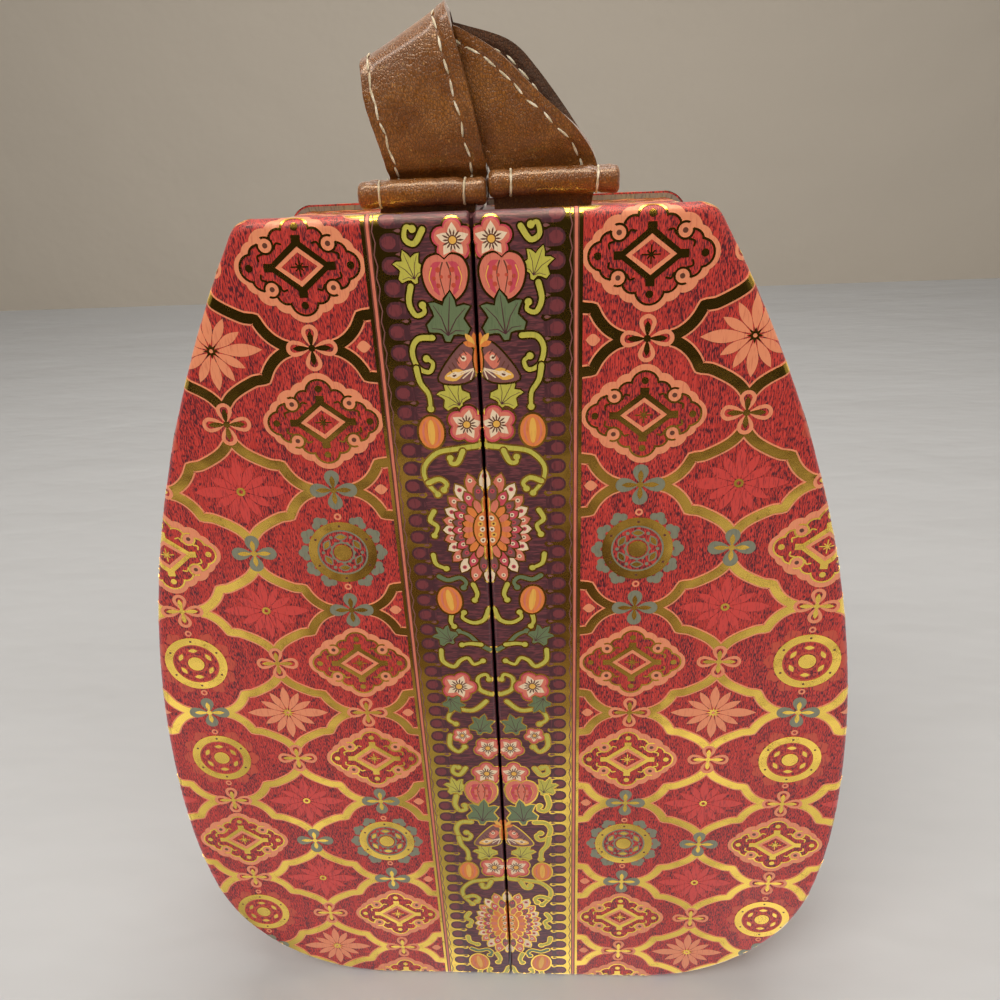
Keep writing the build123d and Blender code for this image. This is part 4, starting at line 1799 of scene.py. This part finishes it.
@dataclass
class Studio:
    """The floor, the backdrop, the lamps and the camera, with a flag and a card that paint reflections and highlights.
    """

    floor: str = "#C6C8CC"
    backdrop: str = "#C6BDB1"
    # The colour of the painted shadow in the cloth's glow.
    shade: str = "#A4786A"

    def cloth(self, name: str, colour: str) -> bpy.types.Material:
        """Smooth pale cloth, with folds a hand wide, that glows for glossy rays: a painted reflection.

        Args:
            name: The material's name.
            colour: Its colour.

        Returns:
            The material.
        """
        material = Fibrous(name, colour, 0.9, fleck=colour, grain_mm=(260, 130, 200), relief_mm=14.0).make()
        pattern = Pattern.on(material)
        tree = pattern.tree
        # Metal and varnish see the cloth as a glow, a painted reflection: painted light in soft patches, brightest in
        # front of the box.
        painted_light_patches = pattern.spread(pattern.noise((75, 55, 75), 2.0), 0.36, 0.66, 0.6, 2.3)
        near = pattern.spread(pattern.axis(1), -0.6, -0.3, 0.25, 1.0)
        # A painted shadow darkens that glow before the middle of the box and tints it with the painted shade colour.
        off = add_node(tree, "ShaderNodeVectorMath", {0: pattern.place, 1: (-0.02, -0.3, 0.0)}, operation="DISTANCE")
        shaded = pattern.spread(off.outputs["Value"], 0.09, 0.19, 0.12, 1.0)
        painted_light_share = pattern.maths("MULTIPLY", near, shaded)
        painted_shadow_tint = pattern.mix(painted_light_share, self.shade, colour)
        strength = pattern.maths("MULTIPLY", painted_light_patches, painted_light_share)
        # The painted reflection: an emission that glossy rays alone see.
        seen = add_node(tree, "ShaderNodeEmission", {"Color": painted_shadow_tint, "Strength": strength}).outputs[0]
        rays = add_node(tree, "ShaderNodeLightPath").outputs["Is Glossy Ray"]
        mixed = add_node(tree, "ShaderNodeMixShader", {0: rays, 1: pattern.shader.outputs[0], 2: seen}).outputs[0]
        tree.links.new(mixed, tree.nodes["Material Output"].inputs["Surface"])
        return material

    def panel(self, name: str, place: Sequence[float], tilt: float, size: Point) -> Piece:
        """Set up a flat panel.

        Args:
            name: Its name.
            place: Its middle, in metres.
            tilt: Degrees that it is tipped up.
            size: Its width and length, in metres.

        Returns:
            The panel.
        """
        deselect()
        bpy.ops.mesh.primitive_plane_add(size=1, location=place, rotation=(radians(tilt), 0, 0))
        panel = bpy.context.object
        panel.name, panel.scale = name, (*size, 1)
        bpy.ops.object.transform_apply(location=True, rotation=True, scale=True)
        return panel

    def build(self) -> None:
        """Lay the stage, and set the lamps and the world."""
        floor = self.panel("studio_floor", (0, -1.2, -0.0002), 0, (9, 7))
        floor.data.materials.append(self.cloth("floor_cloth", self.floor))
        backdrop = self.panel("studio_backdrop", (0, 1.5, 1.4), 86, (9, 2.9))
        backdrop.data.materials.append(self.cloth("backdrop_cloth", self.backdrop))
        # A matt dark flag before the box, a painted dark reflection, and a glowing card above it, painting highlights,
        # show in glossy surfaces alone.
        flag = self.panel("studio_flag", (0, -0.6, 0.8), 90, (3.2, 1.6))
        flag.data.materials.append(Finish("flag_felt", "#15110F", 1.0).make())
        card = self.panel("studio_card", (-0.03, -0.2, 1.0), 0, (0.6, 0.3))
        # The card's glow is painted highlight, not a lamp.
        glow = bpy.data.materials.new("card_glow")
        glow.use_nodes = True
        shine = add_node(glow.node_tree, "ShaderNodeEmission", {"Color": linear("#FFE8C6"), "Strength": 12.0})
        glow.node_tree.links.new(shine.outputs[0], glow.node_tree.nodes["Material Output"].inputs["Surface"])
        card.data.materials.append(glow)
        for screen in (flag, card):
            screen.visible_camera = screen.visible_diffuse = screen.visible_shadow = screen.visible_transmission = False
        self.lamp("key_lamp", (-0.55, -0.75, 1.35), (0.9, 0.7), 13.0)
        self.lamp("fill_lamp", (0.95, -0.8, 0.9), (0.9, 0.9), 5.0)
        self.lamp("top_lamp", (0.1, 0.35, 1.5), (1.0, 0.6), 9.0)
        world = bpy.data.worlds.new("studio_world")
        bpy.context.scene.world = world
        world.use_nodes = True
        world.node_tree.nodes["Background"].inputs["Color"].default_value = linear("#DCD7CD")
        world.node_tree.nodes["Background"].inputs["Strength"].default_value = 0.36
        bpy.context.scene.view_settings.view_transform = "Standard"

    def lamp(self, name: str, place: Sequence[float], size: Point, watts: float) -> None:
        """Hang a soft lamp that faces the box.

        Args:
            name: Its name.
            place: Where it hangs, in metres.
            size: Its width and height, in metres.
            watts: Its power.
        """
        deselect()
        bpy.ops.object.light_add(type="AREA", location=place)
        lamp = bpy.context.object
        lamp.name = name
        lamp.rotation_euler = (Vector((0, 0, 0.14)) - Vector(place)).to_track_quat("-Z", "Y").to_euler()
        lamp.data.shape, lamp.data.size, lamp.data.size_y, lamp.data.energy = "RECTANGLE", *size, watts
        lamp.data.color = linear("#FFF9F0")[:3]

    def aim(self) -> None:
        """Set the camera where the photograph was taken from."""
        deselect()
        bpy.ops.object.camera_add(location=(0.0141, -0.1923, 0.2729))
        camera = bpy.context.object
        forward, up = Vector((-0.05705, 0.90101, -0.43003)), Vector((0.01679, 0.43154, 0.90194))
        right = forward.cross(up).normalized()
        up = right.cross(forward).normalized()
        camera.rotation_euler = Matrix((right, up, -forward.normalized())).transposed().to_euler()
        camera.data.sensor_fit, camera.data.sensor_width, camera.data.lens = "HORIZONTAL", 36.0, 26.17
        camera.data.clip_start, camera.data.clip_end = 0.01, 30.0
        bpy.context.scene.camera = camera


@dataclass
class KeepsakeBox:
    """The whole box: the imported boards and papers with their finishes, and the pieces laid on them."""

    form: BoxForm = field(default_factory=BoxForm)
    leather: Finish = Leather("waxed_cowhide", "#A3672B", 0.34)
    # The face inside each loop: a darker, unwaxed copy of the leather, painted shade.
    inner: Finish = Leather(
        "painted_shade_cowhide", "#643A1C", 0.8, deep="#3A2110", shade="#502E17", glint="#764824", wax=0.0
    )
    thread: Finish = Woven("waxed_linen_thread", "#F3E8CF", 0.7, gap="#C9B795", yarn_mm=0.4)
    cloth: Finish = Woven("spine_book_cloth", "#6E1F22", 0.8, gap="#58181B", yarn_mm=0.5)

    def dress_nodes(self) -> None:
        """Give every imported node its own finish."""
        finishes = {
            "front_paper": SlubPaper("printed_cover_paper", "#BA2B20", 0.5),
            "back_paper": SlubPaper("printed_cover_paper", "#BA2B20", 0.5),
            "wall_paper": SlubPaper("printed_wall_paper", "#BA2B20", 0.5, along=1),
            "lining": Fibrous("burgundy_lining_paper", "#5A1C22", 0.75, fleck="#6B2A2E"),
            "magnets": Fibrous("nickel_plated_magnet", "#C9C6BE", 0.28, fleck="#B5B2AA", relief_mm=0.01, metallic=1.0),
            "spine_leaf": self.cloth,
            "strap": self.leather,
            "anchor_card": Fibrous("grey_anchor_card", "#9B948A", 0.85, fleck="#857D72"),
            "roll_cores": Fibrous("birch_dowel", "#CDAE7F", 0.6, fleck="#B08F60", grain_mm=(6.0, 0.4, 0.4)),
            "roll_bindings": self.thread,
            "front_roll": self.leather,
            "back_roll": self.leather,
        }
        board = Fibrous("raw_greyboard", "#8F8678", 0.88, fleck="#6F675B")
        for name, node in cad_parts.items():
            part = name.split("_", 1)[1]
            for socket in node.material_slots:
                socket.material = finishes.get(part, board).make()

    def print_covers(self) -> None:
        """Print the front and back covers."""
        lattice, strip, seam_reach, edge_reach = LatticeArt(), StripArt(), 3.6, 4.8
        for name, outward in (("front_print", -1.0), ("back_print", 1.0)):
            art = Artwork()
            lattice.draw(art, range(-1, 4), range(-2, 14), 233.8)
            art.fill(rectangle(-4.0, -8.0, strip.outer, 270.0), Ink.BARE)
            if outward < 0:
                strip.draw(art, self.form.height, -8.0)
            else:
                strip.rules(art, -8.0, 269.0, inner=False)
            face = CoverFace(self.form, outward)
            self.lay(PrintRun(name, art, face, face.region(seam_reach, edge_reach), face.folds(seam_reach)))

    def print_walls(self) -> None:
        """Print the paper band round the walls, with the strip at both of its ends."""
        lattice, strip, face, art = LatticeArt(), StripArt(), WallFace(self.form), Artwork()
        lattice.draw(art, range(-1, 17), range(-2, 3), -0.25)
        end = Artwork()
        end.fill(rectangle(-4, -30, strip.outer, 30), Ink.BARE)
        strip.rules(end, -24.2, 24.2)
        for x, y, turn in ((6.0, -16.0, 0), (12.0, -19.0, 40), (6.0, 17.0, 180), (12.0, 18.5, 140)):
            end.add(strip.blossom() if turn in (0, 180) else strip.ivy(Ink.LIME), (x, y), turn, 0.8)
        for start, step in ((0.0, 1.0), (face.length, -1.0)):
            for outline, ink in end.shapes:
                art.fill([(start + step * u, v) for u, v in outline], ink)
        # The paper stays bare round the slots, which lie a little apart in the two halves.
        for left, right in ((3.3, 27.9), (0.3, 24.9)):
            art.fill(rectangle(left, -2.6, right, 2.1), Ink.BARE)
        self.lay(PrintRun("wall_print", art, face, face.region(), face.folds()))

    def lay(self, run: PrintRun) -> None:
        """Print a run on both halves and report it."""
        log.info("%s: %d skins", run.name, run.print({1: "right_half", -1: "left_half"}))

    def add_handles(self) -> None:
        """Add the straps, their rolls and the ties."""
        rising = [
            (0, -1.25, -6.6, 0), (0, -1.25, -1.2, 0), (3.1, -1.25, 6.2, 0), (3.0, -4.4, 10, 1.2), (1.6, -6.0, 18, 7.4),
            (-0.9, -6.6, 29, 16.5), (-3.0, -5.4, 36.9, 24.6, 0, 0.97), (-3.8, -2.9, 40, 27, 0, 0.96),
        ]
        crest = (-4.0, 0, 41, 27.5, 0, 0.96)
        falling = [(s[0], -s[1], *s[2:]) for s in reversed(rising)]
        leaning = [
            (0, -1.25, -6.6, 0), (0, -1.25, -1.2, 0), (-0.6, -1.25, 6.4, 3, 0, 1.08), (-1.5, -1.7, 9.4, 14.6, -8, 0.97),
            (-3.6, -1.8, 12, 36.4, -10, 0.80), (-6.2, -1.8, 15, 62, -8.6, 0.79), (-8.3, -1.6, 17.8, 84, -3, 0.80),
            (-9.2, 0, 18.6, 91.6, 0, 0.82), (-8.3, 1.6, 17.8, 83.5, 3.4, 0.85), (-6.2, 1.8, 15, 61.5, 7.6, 0.95),
            (-3.6, 1.8, 12, 47.5, 9.6, 0.94), (-0.9, 1.7, 9.6, 21, 8, 0.93), (1.2, 1.25, 7.4, 0), (0, 1.25, -1.2, 0),
            (0, 1.25, -6.6, 0),
        ]
        left = Strap("left", -0.9, -1, [*rising, crest, *falling], ((0.15, 4.5), (0.905, 4.5)), 3.7, 3.75)
        right = Strap("right", 3.9, 1, leaning, ((0.1, 16.0), (0.86, 4.5)), 3.7, 3.15)
        for strap, start_x, lift in ((left, -28.2, 0.0), (right, 2.9, 1.4)):
            body = f"{strap.side}_half"
            strap.build(body, self.leather, self.inner, self.thread)
            ties = []
            for place, y, opening in (("front", -5.65, 0.0), ("back", 5.15, pi)):
                roll = Roll(f"{strap.side}_{place}_roll", start_x, y, 265.15 + lift, opening)
                ties += roll.build(body, self.leather, self.thread)
            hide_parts(f"{strap.side}_roll_bindings")
            log.info("%s handle: strap, stitches, 2 rolls, %d ties", strap.side, len(ties))


def main() -> None:
    """Build the box piece by piece, and the studio round it."""
    logging.basicConfig(level=logging.INFO, format="%(message)s")
    studio, box = Studio(), KeepsakeBox()
    studio.aim()
    box.dress_nodes()
    log.info("packed nodes: %d finished", len(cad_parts))
    box.print_covers()
    box.print_walls()
    box.add_handles()
    Spine().build(box.cloth)
    log.info("spine cloth: bends between the halves")
    studio.build()


if __name__ == "__main__":
    main()
